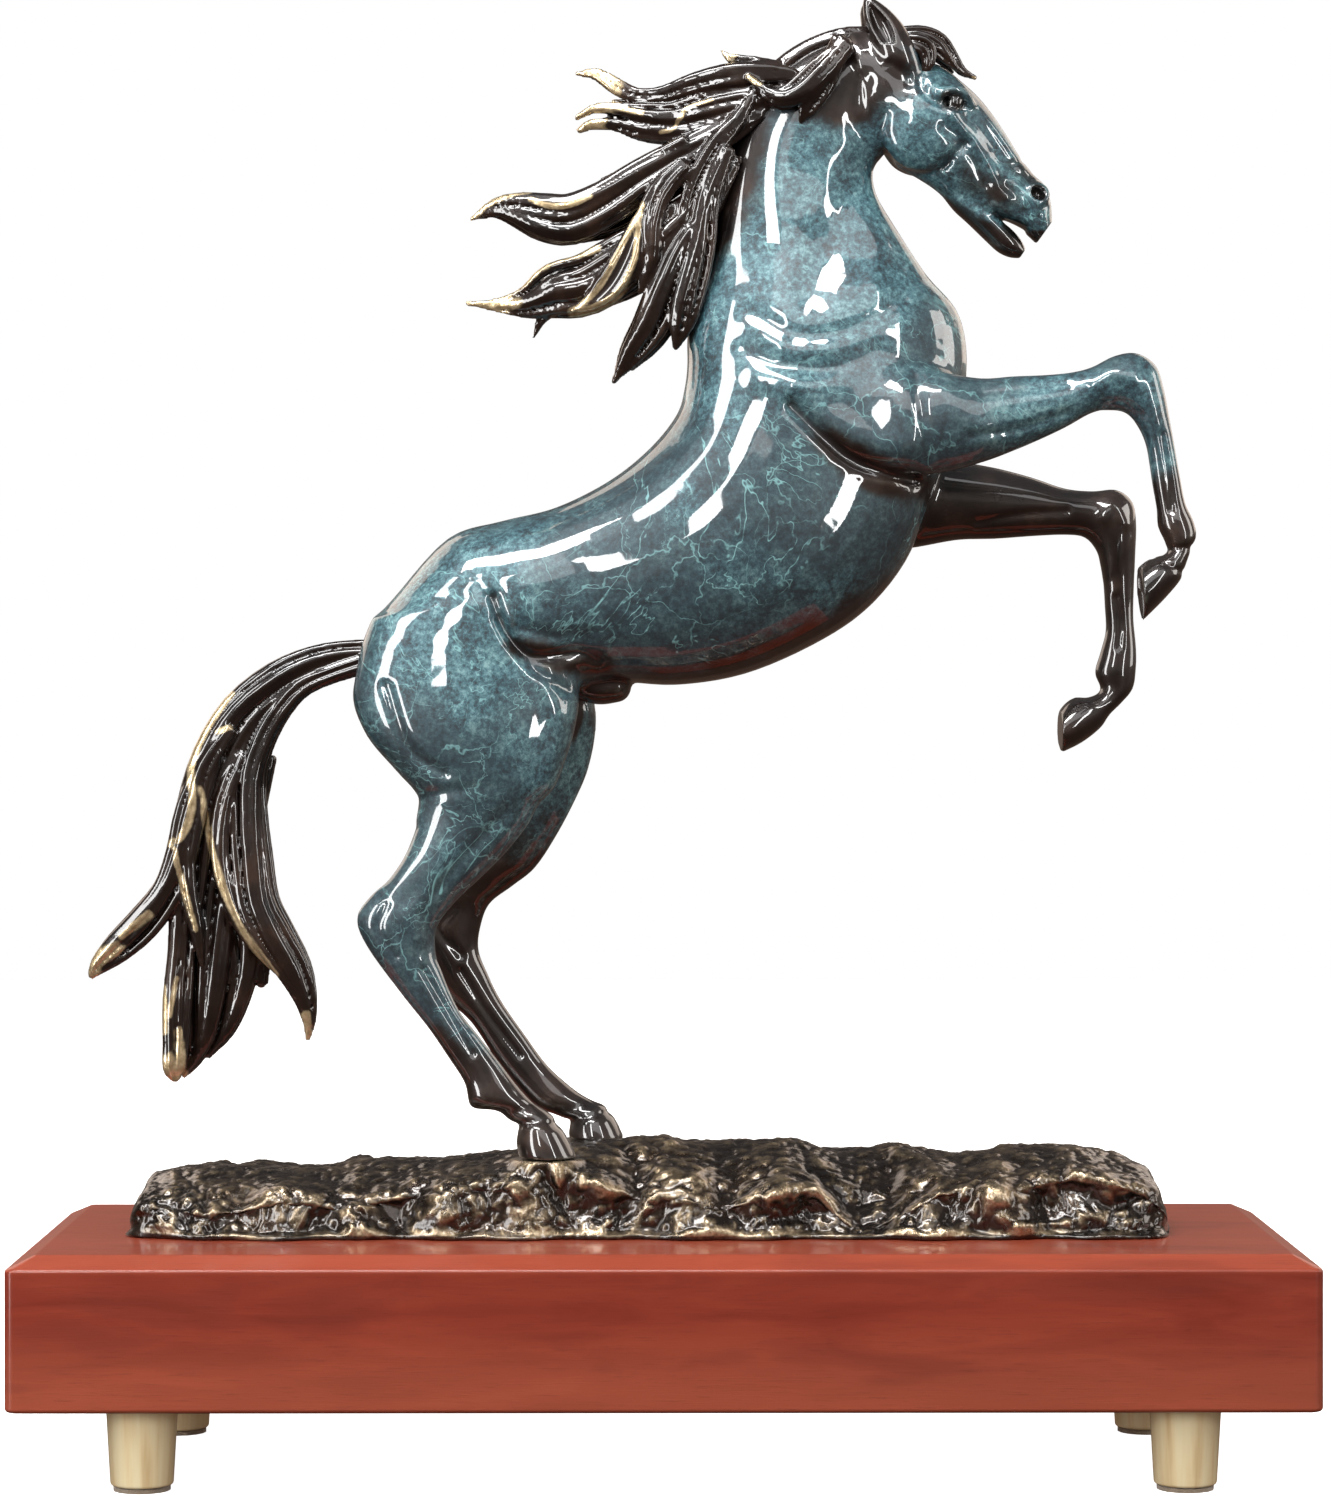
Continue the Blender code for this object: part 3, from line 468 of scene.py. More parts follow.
LEG_FOLDS = (
    # haunch
    (2.2, -1.2, -1, (-101, 288), (-93, 266), (-80, 256)),
    (2.4, -0.7, -1, (-88, 247.5), (-76, 250), (-60, 251, 0.3)),
    (4.5, 1.2, -1, (-42, 290), (-37, 272), (-42, 252)),
    (5.0, -0.7, 0, (-60, 338, 0.2), (-66, 326), (-62, 314)),
    # near hind leg: tendons, hock and fetlock
    (2.4, -0.9, -1, (-58, 242), (-72, 226), (-84, 212)),
    (2.0, -1.1, -1, (-92, 236), (-98, 222), (-104, 211)),
    (3.2, 0.9, -1, (-86, 212), (-92, 205), (-90, 196)),
    (1.8, -0.9, -1, (-101, 208), (-104, 199), (-98, 189)),
    (1.4, -0.9, -1, (-88, 184), (-79, 168), (-70, 153)),
    (1.8, -0.9, -1, (-68, 133.8), (-59, 131.6), (-50, 133)),
    (1.3, -0.8, -1, (-55, 126.3), (-47, 128), (-38, 127)),
    # far hind leg
    (1.8, -0.9, 1, (-78, 205), (-84, 197), (-76, 187)),
    (1.4, -0.9, 1, (-76, 181), (-66, 165), (-54, 149)),
    (1.3, -0.8, 1, (-35, 124.6), (-28, 126.4), (-20, 127.6)),
    # near foreleg
    (1.8, -1.0, -1, (112, 379), (130, 382), (148, 388)),
    (2.0, -0.7, -1, (116, 394), (132, 396), (148, 398)),
    (3.0, 0.9, -1, (158, 398), (164, 402), (171, 400)),
    (1.5, -0.8, -1, (160, 391), (168, 392), (175, 387)),
    (1.3, -0.9, -1, (182, 380), (184.5, 366), (186, 352)),
    (1.2, -0.7, -1, (183.5, 337.6), (189, 338.4), (194, 339)),
    (1.2, -0.7, -1, (180, 334.5), (186, 331), (191, 329.6)),
    # far foreleg
    (1.6, -0.9, 1, (118, 350), (136, 353), (152, 354)), (2.6, 0.8, 1, (166, 352), (170, 356), (174, 350)),
    (1.2, -0.8, 1, (171, 322), (172.5, 312), (172, 303)),
    # neck
    (7.5, -1.4, 0, (54, 432), (63, 456), (72, 478)), (5.0, 0.8, 0, (78, 436), (81, 456), (78, 476)),
    (4.0, -0.9, 0, (74, 488), (70, 500), (74, 512)),
)
FACE_LINES = (
    # jaw edge, facial crest, nose, lips and the hollow behind the eye
    (1.9, -1.0, 0, (82, 499), (81, 491), (84, 484.5), (90, 480), (98, 478.5), (105, 481.5)),
    (1.8, -1.1, 0, (104, 480), (108, 485), (112, 489)),
    (2.2, 1.1, 0, (107, 498.5), (112, 493), (117, 486), (121, 478.5), (124, 472.5), (126.5, 469)),
    (2.6, -0.9, 0, (104, 494), (110, 489), (116, 481), (119, 474)),
    (2.4, -0.6, 0, (112, 500), (118, 494), (124, 487), (129, 480)),
    (1.9, 0.5, 0, (114, 506), (121, 497.5), (128, 487.5), (134, 479.5)),
    (1.2, -0.5, 0, (123, 484.5), (126, 481.5), (130, 482), (134, 483.5)),
    (1.2, -0.4, 0, (124.5, 478), (129, 477), (133, 477.6), (136, 476)),
    (1.4, -0.5, 0, (126, 473), (130, 470.6), (133, 466.5)),
    (1.1, 0.5, 0, (131, 473.5), (133.6, 470), (133.8, 466)),
    (1.0, -0.5, 0, (142, 466), (139.6, 463), (138.2, 459)),
    (1.0, -1.6, 0, (123.5, 463.6), (128, 460.8), (134, 457.6)),
    (1.4, 0.6, 0, (122.5, 466), (126, 464), (132, 462), (138, 459)),
    (1.6, -0.4, 0, (109, 479), (113, 473), (118, 469)),
    (1.4, -0.7, 0, (96, 516), (94.6, 511), (96.6, 506), (101, 503)),
    (2.0, 0.8, 0, (98, 513), (100, 509.5), (103, 507)),
    (1.5, -0.6, 0, (84, 518), (88.5, 515), (90.5, 510)),
)
SHEATH = ((-31, 0, 289), (-24, 0, 287.4), (-17.5, 0, 287.6))
SHEATH_RADII = (6, 6.2, 5.6)


def on_side(stations, side, y):
    """The stations moved y outwards, on the right (-1) or the left (1)."""
    return [(*s[:5], side * (s[5] + y)) for s in stations]


def draw(block, strokes):
    """Push a table of strokes into the skin, one after the other."""
    for radius, lift, side, *points in strokes:
        block.stroke(points, radius, lift, side)


def sculpt_face(block):
    """Cheeks, eyes with their lids, nostrils and ears."""
    for side in (-1, 1):
        block.ball((95, side * 9, 493.5), (14.5, 6.5, 15), blend=5)
        x, y, z = EYE
        block.ball((x, side * (y + 2.4), z), (5.2, 4.2, 3.9), turn=-20, blend=2.5, carve=True)
        block.ball((x + 0.3, side * (y - 0.4), z), (3.1, 3.1, 3.1), blend=0.4)
        block.rod(((101.6, side * 12.6, 504.4), (103.6, side * 13.4, 507.2), (107.4, side * 13.2, 508.2),
                   (111.4, side * 11.8, 506.8), (114.2, side * 9.8, 503)), (0.7, 1.4, 1.7, 1.5, 0.7), 2)
        block.rod(((102, side * 12.8, 503.8), (104.4, side * 13.6, 500.9), (108, side * 13.1, 499.4),
                   (112, side * 11.2, 500.4)), (0.6, 1.1, 1.1, 0.7), 1.6)
        x, y, z = NOSTRIL
        ring = []
        for a in np.linspace(0, 2 * math.pi, 13):
            out = y - 1.4 - 1.9 * max(0, math.cos(a - 0.6))
            ring.append((x + 3.5 * math.cos(a), side * out, z + 3.1 * math.sin(a)))
        block.rod(ring, [0.9] * len(ring), 2.6, steps=2)
        block.ball((x, side * (y + 0.8), z), (2.9, 5.2, 2.4), turn=-35, blend=0.8, carve=True)
        block.loft(on_side(EAR, side, 9), blend=2.6)
        block.loft(on_side(EAR_OPENING, side, 13.2), blend=0.7, carve=True)


def sculpt_horse(block):
    """Add every form of the horse that reaches into the block."""
    block.loft(BODY, blend=0, fullness=0.92)
    block.limbs((HIND_RIGHT, HIND_LEFT), blend=8)
    block.limbs((FORE_RIGHT, FORE_LEFT), blend=6)
    block.loft(HEAD, blend=5)
    block.loft(LOWER_JAW, blend=1.5)
    draw(block, TRUNK_FOLDS)
    block.rod(SHEATH, SHEATH_RADII, 2.0, flat=1.5)
    draw(block, LEG_FOLDS)
    sculpt_face(block)
    draw(block, FACE_LINES)


NECK_JOINT_Z = 432.0
THIGH_JOINT_Z = 258.0
FORELEG_JOINT_X = 117.0
HEAD_JOINT = (79.5, 0, 477.0)
HEAD_JOINT_NORMAL = (0.9898, 0, 0.1424)
THROAT_Z = 472.0  # the neck and the jaw are apart below this

# name: (corners and voxel of the sculpting block, planes that cut the casting off)
CASTINGS = {
    "body": ((-124, -50, 250), (126, 50, 442), 1.1,
             (((0, 0, NECK_JOINT_Z), (0, 0, 1)), ((0, 0, THIGH_JOINT_Z), (0, 0, -1)),
              ((FORELEG_JOINT_X, 0, 0), (1, 0, 0)))),
    "neck": ((-6, -40, 424), (124, 40, 546), 0.9,
             (((0, 0, NECK_JOINT_Z), (0, 0, -1)), (HEAD_JOINT, HEAD_JOINT_NORMAL))),
    "head": ((60, -26, 436), (156, 26, 550), 0.6,
             ((HEAD_JOINT, (-HEAD_JOINT_NORMAL[0], 0, -HEAD_JOINT_NORMAL[2])),)),
    "right_hind_leg": ((-122, -44, 106), (-18, 0, 268), 0.8, (((0, 0, THIGH_JOINT_Z), (0, 0, 1)),)),
    "left_hind_leg": ((-112, 0, 106), (-4, 44, 268), 0.8, (((0, 0, THIGH_JOINT_Z), (0, 0, 1)),)),
    "right_foreleg": ((108, -44, 302), (206, -4, 420), 0.8,
                      (((FORELEG_JOINT_X, 0, 0), (-1, 0, 0)),)),
    "left_foreleg": ((108, 4, 250), (190, 44, 384), 0.8, (((FORELEG_JOINT_X, 0, 0), (-1, 0, 0)),)),
}


def edge_wear(points, quads, reach=6):
    """How far each point stands proud of its surroundings (positive on ridges), in millimetres."""
    broad = points
    for _ in range(reach):
        broad = relax(broad, quads, 0.8)
    a, b = points[quads[:, 2]] - points[quads[:, 0]], points[quads[:, 3]] - points[quads[:, 1]]
    face_normals = np.cross(a, b)
    normals = np.zeros_like(points)
    for corner in range(4):
        np.add.at(normals, quads[:, corner], face_normals)
    normals /= np.maximum(np.linalg.norm(normals, axis=1, keepdims=True), 1e-9)
    return np.einsum("ij,ij->i", points - broad, normals)


def near_lines(points, lines):
    """0 to 1: closeness of points to lines drawn on the side view, each a (radius, (x, z)...)."""
    best = np.zeros(len(points))
    for radius, *line in lines:
        line = smooth_rows(line, 4)
        for i, (start, end) in enumerate(zip(line, line[1:])):
            gap2 = line_gap(points[:, 0], points[:, 2], start, end)[1]
            fade = 0.8 + 0.3 * math.sin(math.pi * (i + 0.5) / (len(line) - 1))
            best = np.maximum(best, fade * np.exp(-gap2 / radius**2))
    return best


def ramp(low, high, value):
    """Smooth step from 0 at `low` to 1 at `high`."""
    t = np.clip((value - low) / (high - low), 0, 1)
    return t * t * (3 - 2 * t)


def bronze_and_shade_share(points, name):
    """0 to 1: where the patina gives way to dark bronze at each point (poll, brow, crest, muzzle, eyelids,
    lower legs); the same dark is painted shade on the far legs, on the far side of the chest and in the
    folds, and it also darkens the undersides of the belly, the sheath, the jaw and the chin.
    """
    x, y, z = points.T
    if name == "right_hind_leg":
        return ramp(176, 140, z + 0.4 * (x + 70))
    # the far hind leg: dark bronze low down, and painted shade higher up, where the near leg keeps its
    # patina
    if name == "left_hind_leg":
        return ramp(266, 196, z)
    if name == "right_foreleg":
        return np.maximum(ramp(382, 350, z) * ramp(168, 176, x), ramp(356, 335, z))
    # the far foreleg: dark all over, dark bronze low down and painted shade above
    if name == "left_foreleg":
        return np.ones_like(x)
    poll = ramp(40, 10, np.hypot((x - 64) * 0.8, z - 520))
    brow = ramp(519, 527, z) * ramp(102, 94, x)
    crest = ramp(26, 4, x - 12 - 0.28 * np.maximum(z - 440, 0)) * ramp(420, 455, z)
    parts = [poll, brow, 0.8 * crest]
    if name == "head":
        jaw = ramp(5, -4, (z - 467) + 0.55 * (x - 110)) * ramp(84, 92, x)
        muzzle = ((11, (106, 478), (118, 474), (132, 465)), (6, (124, 486), (134, 478), (141, 470)))
        chin = ramp(459, 455, z) * ramp(122, 126, x)
        lids = ramp(8, 3, np.hypot(x - 106, z - 503.8))
        parts += [0.75 * jaw, 0.55 * near_lines(points, muzzle), chin, 0.62 * lids]
    elif name == "body":
        # painted shade on the far side of the chest
        far_side_shade = ramp(3, 12, y) * ramp(84, 98, x) * ramp(392, 378, z)
        belly = ramp(306, 284, z - 0.45 * np.maximum(x - 10, 0)) * ramp(-36, -14, x)
        # painted shade along the fold under the shoulder and the fold at the flank
        fold_shade = ((8, (58, 379), (78, 364), (98, 361)), (6, (-54, 303), (-38, 297), (-22, 296)))
        sheath = ramp(293, 289, z) * ramp(12, 9, np.abs(y)) * ramp(-37, -32, x) * ramp(-8, -14, x)
        parts += [far_side_shade, 0.8 * belly, 0.85 * near_lines(points, fold_shade), sheath]
    return np.maximum.reduce(parts)


def make_castings(material):
    """The seven sculpted castings, each cut from the whole horse at its joint planes."""
    for name, (low, high, voxel, planes) in CASTINGS.items():
        block = Block(low, high, voxel * (1.0))
        sculpt_horse(block)
        points, quads = block.skin()
        obj = make_mesh(f"{name}_skin", points, quads.tolist())
        # brown: dark bronze, and painted shade on the far side, the far legs and in the folds
        set_attribute(obj, "brown", bronze_and_shade_share(points, name))
        set_attribute(obj, "proud", edge_wear(points, quads))
        # eye: the dark eyeballs, and painted shade inside the nostrils and the mouth
        set_attribute(obj, "eye", eyes_and_painted_shade(points))
        for point, normal in planes:
            cut_off(obj, point, normal, THROAT_Z if point is HEAD_JOINT else EVERYTHING)
        keep_largest(obj)
        shade_from(obj, block, planes)
        place(obj, material, "patina_bronze", name)


def eyes_and_painted_shade(points):
    """1 on the eyeballs, and as painted shade inside the nostrils and the mouth; 0 elsewhere."""
    x, y, z = points.T
    eye = np.hypot(np.hypot(x - EYE[0] - 0.3, np.abs(y) - EYE[1] + 0.4), z - EYE[2])
    nostril = np.hypot(x - NOSTRIL[0], z - NOSTRIL[2]) / 1.15
    mouth = np.hypot((x - 130) / 1.6, z - 457.6) / 1.2
    dark = np.maximum(ramp(3.7, 3.2, eye), ramp(3.4, 2.4, nostril) * ramp(9.4, 8.4, np.abs(y)))
    return np.maximum(dark, ramp(3.4, 2.2, mouth) * ramp(7.5, 6, np.abs(y)) * (x > 120))


# ================================================================ hair

# A lock is (Y at the root, Y at the tip, strands, rows of (x, z, half width) from root to tip)
MANE = (
    (-2, 0, 6, (77, 531, 2.5), (66, 528.5, 4.5), (55, 523.5, 6), (46, 516, 7), (40, 510, 5)),
    (-9, -3, 6, (53, 511, 2), (45, 513, 5), (28, 512.5, 7), (13, 510, 6), (0, 506.4, 4.2),
     (-10, 506.8, 3.2), (-18, 510.8, 3.2), (-25, 515.2, 2.3), (-32.3, 515.4, 0.8)),
    (-8, -6, 3, (42, 517, 3), (34, 519, 2.4), (28, 520.2, 1.8), (24.5, 520.6, 1.8), (21.6, 523.6, 0.6)),
    (-9, -5, 6, (44, 507, 2), (35, 505.6, 5), (18, 502.5, 6), (4, 499, 5), (-8, 500, 4.2),
     (-18, 502, 2.8), (-26, 502, 2.2), (-32.4, 498.6, 1.2)),
    (-9, -4, 5, (40, 503, 2), (30, 500, 5), (14, 494.6, 5), (4, 493, 4.6), (-8, 494, 4),
     (-18, 496.4, 2.8), (-27, 496.2, 2.4), (-31.5, 493.8, 1.3)),
    (-10, -4, 7, (37, 500, 2), (26, 494, 5), (9, 485, 7), (-7, 476, 8.5), (-21, 467, 9.5),
     (-34, 461, 10.5), (-44, 461.8, 9.6), (-53, 464.4, 7), (-62, 465.3, 3.8), (-71.3, 461.3, 0.7)),
    (-11, -8, 3, (8, 488, 4), (-6, 481.5, 3.4), (-15, 477.4, 2.2), (-23, 475.6, 0.6)),
    (-11, -3, 7, (28, 483, 2), (16, 470, 5.4), (1, 456, 9), (-13, 446, 11), (-28, 437, 11.5),
     (-40, 434.5, 10.5), (-50, 430.4, 6.4), (-60, 429.4, 3.2), (-73, 430.2, 0.7)),
    (-7, -5, 2, (-40, 429, 3.5), (-45, 424.5, 2.4), (-48.2, 417, 0.6)),
    (-12, -8, 6, (27, 480, 2), (18, 466, 4.6), (7, 450, 7.6), (0.5, 435, 8.2), (-5.5, 421, 7.2),
     (-12, 411, 5), (-18.6, 400.2, 0.7)),
    (-14, -12, 5, (24, 486, 3), (17, 468, 4.5), (14, 450, 5.6), (10, 434, 6.2), (7, 422, 5),
     (4.5, 412.4, 1)),
    (-12, -14, 4, (34, 508, 1.4), (28, 497, 3), (20, 488, 4), (12, 474, 4), (8, 460, 3.4),
     (7.5, 446, 2.4), (9, 434, 1)),
    (-14, -14, 5, (8, 480, 4), (-1, 470, 5), (-5, 458, 5.5), (-5, 446, 4.6), (-9, 433, 1)),
    (-12, -14, 5, (68, 525, 4), (59, 515, 6), (50, 507, 6), (41, 505.4, 4), (31.2, 513, 0.7)),
    (-11, -13, 5, (66, 527, 4), (60, 512, 5), (53.6, 503, 4.4), (50.6, 496, 1.2)),
    (7, 3, 6, (53, 512, 2), (45, 515, 5), (28, 513, 7), (13, 508.5, 6.5), (0, 504.5, 5),
     (-10, 504.5, 3.2), (-19, 506, 0.8)),
    (9, 3, 7, (40, 508, 2), (30, 500, 6), (12, 486, 9), (-5, 474, 9), (-20, 465, 9), (-36, 461, 7.5),
     (-50, 463, 4), (-58, 464, 0.8)),
    (10, 3, 7, (30, 484, 2), (20, 472, 6), (3, 456, 10), (-12, 445, 11), (-28, 437, 9), (-42, 434, 6),
     (-56, 431, 0.8)),
    (11, 6, 7, (28, 480, 2), (19, 468, 5), (9, 450, 8), (3, 434, 8), (-5, 418, 6), (-12, 406, 0.8)),
    (11, 12, 6, (66, 526, 5), (56, 513, 7), (46, 503, 7), (38, 492, 5), (33, 482, 1)),
)
# The curl's rows of (x, z, half width) from root to tip
LEAF = ((-7.6, 464.5, 1.2), (-10.4, 456, 3.4), (-14, 446, 5), (-19.6, 436, 5.4), (-27, 429.2, 3.2),
        (-34.4, 426.2, 0.5))
# Lines where the hair is rubbed to bare brass, as near_lines has them
MANE_BRASS = (
    (3.0, (-33, 515), (-27, 516.5), (-21, 513.5), (-17, 510)),
    (3.4, (-33, 499), (-27, 502.5), (-19, 503)), (3.6, (-31.5, 494), (-24, 496.5)),
    (1.3, (-19, 503), (-8, 500)), (2.4, (21, 524), (25, 521.5)),
    (1.9, (-72, 461), (-65, 467), (-58, 470), (-50, 471.5)),
    (1.4, (-49, 468), (-42, 465), (-34, 465.5), (-27, 468.5)),
    (3.4, (-74, 430.3), (-62, 429.5), (-55, 430)),
    (2.0, (-62, 432), (-53, 437), (-46, 443), (-38, 446.5), (-24, 449)),
    (1.6, (-7.6, 465), (-10, 452), (-11, 443), (-17, 432.5), (-26, 427), (-34, 426.2)),
    (1.3, (-8, 464), (-14, 452), (-19, 442), (-25, 432.5), (-34, 426.4)), (1.6, (31, 513.2), (35, 510.6)),
    (1.0, (18, 504.6), (9, 501.5), (4, 494.5), (-1, 492.6)),
)
TAIL = (
    (-1, -3, 6, (-106, 299.5, 6), (-116, 299.6, 5.8), (-129, 297, 6.6), (-143, 290, 8),
     (-157, 278.5, 8.6), (-167, 262, 9), (-173.4, 243, 8.6), (-176, 224, 8.2), (-177.5, 206, 7),
     (-179, 190, 5.6), (-180.4, 172, 6), (-181, 155, 5.2), (-181.6, 146, 4.4), (-181, 141.6, 1.6)),
    (2, 3, 6, (-106, 299, 5.6), (-128, 294, 6), (-141, 286.5, 7), (-152, 274, 8), (-158.6, 256, 9),
     (-162, 238, 9), (-164, 220, 9), (-167, 202, 9), (-169, 185, 9), (-170.5, 170, 8), (-172, 158, 6),
     (-175, 149, 3.2), (-179, 142.4, 1)),
    (-3, -6, 6, (-106, 298.5, 5), (-128, 291, 4.6), (-138.6, 284, 5.4), (-147.6, 271, 6),
     (-153, 256, 6.6), (-153.6, 240, 7.4), (-152.6, 225, 8), (-150.4, 208, 8.2), (-144.6, 195, 8.6),
     (-137.4, 183, 7.4), (-133, 172, 5), (-131.4, 163, 2.8), (-132, 156.8, 1)),
    (-6, -5, 5, (-167, 262, 5), (-174.4, 243, 6.4), (-178.4, 226, 6.6), (-184, 212, 6.4), (-193, 200, 7),
     (-202.4, 191, 6), (-209, 184.8, 3.8), (-212.4, 180.2, 1.4)),
    (5, 4, 6, (-150, 262, 6), (-156, 240, 8), (-158, 220, 9), (-158, 200, 9), (-157.6, 186, 8),
     (-160, 172, 6.4), (-164, 160, 4.4), (-170, 149.6, 1)),
    (4, 5, 5, (-154, 232, 6), (-152.4, 214, 7), (-151, 199, 6.6), (-150.6, 187, 4.6), (-150, 177, 3)),
    (-6, -7, 4, (-156, 262, 3), (-162, 246, 4), (-164, 230, 4.4), (-162, 214, 4), (-156, 199, 3.4),
     (-149, 189, 2.4), (-143, 181.4, 0.8)),
    (-8, -8, 4, (-160, 272, 2.6), (-169, 258, 3.6), (-173, 244, 3.6), (-176.4, 234, 2.2),
     (-181.6, 229.6, 0.8)),
    (-8, -7, 4, (-172, 244, 3), (-176.6, 228, 3.6), (-176, 212, 3.8), (-173, 198, 3.2), (-171, 184, 1)),
    (7, 6, 6, (-140, 286, 6), (-160, 268, 9), (-170, 244, 10), (-174, 220, 10), (-176, 196, 8),
     (-178, 176, 6), (-180, 158, 4), (-182, 147, 1)),
)
TAIL_BRASS = (
    (1.9, (-160, 285), (-169, 272), (-174.6, 258), (-174, 243), (-177, 234), (-182, 229.6)),
    (1.7, (-171, 250), (-168, 232), (-163, 214), (-155, 197), (-143.6, 181)),
    (1.5, (-181, 228), (-177, 212), (-173, 198)), (1.4, (-160, 273), (-165, 271)),
    (2.0, (-190, 203.6), (-200, 195.6)), (3.4, (-213, 180), (-209, 187), (-202, 191)),
    (4.2, (-182, 141), (-183, 149)), (2.2, (-179, 142), (-179.6, 160)), (2.0, (-185.6, 176), (-185, 160)),
    (2.4, (-132, 156.4), (-132.4, 166)), (1.2, (-180, 180), (-183, 166)),
)
FORELOCK = (
    (-2, -2, 5, (80, 529, 3), (90, 529.6, 4), (97, 530, 3.4), (103, 527.6, 3), (107.4, 521.8, 2.4),
     (111, 516.8, 1.8), (116.2, 514.2, 0.8)),
    (-7, -9, 4, (84, 526, 3), (92, 526, 4), (97, 524, 4), (98, 518.6, 2.6), (96, 514, 0.8)),
    (-6, -6, 4, (86, 527, 3), (94, 527.4, 4), (101, 524.6, 3.4), (105.6, 520, 2.2), (109.6, 516.4, 0.8)),
    (3, 4, 4, (82, 528, 3), (90, 528, 4), (98, 526, 3.4), (104, 522, 2.4), (108, 517, 0.8)),
    (8, 9, 4, (84, 526, 3), (92, 525, 4), (97, 521, 3.4), (98, 515, 0.8)),
)


FORELOCK_BRASS = ((0.5, (115, 514.4), (116, 514)),)
# node: (corners and voxel of the sculpting block, locks, phase step from lock to lock, brass lines)
HAIR = {
    "mane": ((-78, -26, 396), (84, 26, 537), 0.85, MANE, 1.3, MANE_BRASS),
    "tail": ((-219, -22, 136), (-104, 22, 309), 0.72, TAIL, 2.1, TAIL_BRASS),
    "forelock": ((76, -18, 508), (120, 18, 536), 0.5, FORELOCK, 1.7, FORELOCK_BRASS),
}


def comb(block, lock, phase):
    """Lay a lock's strands round its spine, closing up towards the tip.

    phase shifts the strands' sway, so that no two locks look alike.
    """
    depth, blend = 0.8, 0.3
    y_root, y_tip, strands, *rows = lock
    strands = max(2, round(strands * 0.72))
    rows = smooth_rows(rows, 3)
    spine, half = rows[:, :2], np.maximum(rows[:, 2], 0.3)
    along = np.gradient(spine, axis=0)
    along /= np.maximum(np.linalg.norm(along, axis=1, keepdims=True), 1e-6)
    across = np.column_stack([-along[:, 1], along[:, 0]])
    t = np.linspace(0, 1, len(rows))
    y = y_root + (y_tip - y_root) * t
    block.rod(np.column_stack([spine[:, 0], y, spine[:, 1]]), half * 0.6, blend, flat=0.72, steps=1)
    for layer in (-1, 1):
        for k in range(strands):
            u = (k + 0.5) / strands * 2 - 1
            sway = 0.10 * np.sin(5.0 * t + 1.9 * k + phase + layer)
            shift = np.clip(u * 0.86 + sway, -0.9, 0.9)
            thick = half * (0.16 + 1.25 / strands) * (1.0 + 0.22 * math.sin(2.3 * k + phase))
            thick = np.minimum(thick, half * (1.04 - np.abs(shift)) + 0.35 * np.minimum(half, 1.5))
            rise = layer * half * depth * np.sqrt(np.maximum(1 - shift**2, 0.05))
            path = np.column_stack([spine[:, 0] + across[:, 0] * half * shift, y + rise * 0.75,
                                    spine[:, 1] + across[:, 1] * half * shift])
            block.rod(path, np.maximum(thick * 0.62, 0.35), blend, steps=1)


def curl_leaf(block):
    """The one hollow, leaf-shaped curl on the near side of the mane."""
    leaf = smooth_rows([(x, -15 - 0.5 * w, z, w) for x, z, w in LEAF], 4)
    block.rod(leaf[:, :3], leaf[:, 3], 0.5, flat=0.5, steps=1)
    block.rod(leaf[:, :3] - (0, 3.2, 0), leaf[:, 3] * 0.72, 0.4, flat=0.7, steps=1, carve=True)


def make_hair(material):
    """The mane, the tail and the forelock, with their worn ridges and brass tips marked."""
    for node, (low, high, voxel, locks, phase_step, brass) in HAIR.items():
        block = Block(low, high, voxel * (1.0))
        for i, lock in enumerate(locks):
            comb(block, lock, i * phase_step)
        if node == "mane":
            curl_leaf(block)
        points, quads = block.skin(1)
        obj = make_mesh(f"{node}_hair", points, quads.tolist())
        keep_largest(obj)
        kept = read(obj.data.vertices, "co", 3) / MM
        set_attribute(obj, "proud", edge_wear(kept, read(obj.data.polygons, "vertices", 4, int), 4))
        set_attribute(obj, "brass", near_lines(kept, brass))
        obj.data.shade_smooth()
        place(obj, material, "dark_bronze", node)


# ================================================================ rock

ROCK_BOTTOM = 86.5
ROCK_ENDS = (-198.0, 186.0)
END_WALLS = (8, 6)  # depth of the slope up from each end
END_CORNERS = (34, 24)  # how far in from each end the plan narrows
# Height of the top along its middle and along its near shoulder, as (x, z)
ROCK_CREST = (
    (-198, 99), (-195, 104), (-190, 107), (-182, 109), (-165, 109.5), (-130, 109), (-103, 112),
    (-85, 112), (-60, 115.5), (-20, 119.5), (0, 120), (10, 117.5), (30, 119), (50, 118), (66, 114),
    (85, 117), (110, 114), (130, 116.5), (152, 117), (170, 114), (180, 109), (186, 104),
)
ROCK_SHOULDER = (
    (-198, 96), (-192, 102), (-180, 103), (-168, 100), (-155, 102), (-140, 106), (-120, 102.5),
    (-90, 107), (-62, 110), (-45, 113.5), (-30, 112), (-10, 106), (10, 106), (20, 101.5), (45, 109),
    (56, 107), (66, 98), (73, 94), (82, 98), (100, 108), (130, 108), (150, 113), (175, 108), (186, 100),
)
HOOVES = ((-43.0, -22.5, 114.6), (-26.0, 22.0, 117.6))  # middle and sole of each hind hoof


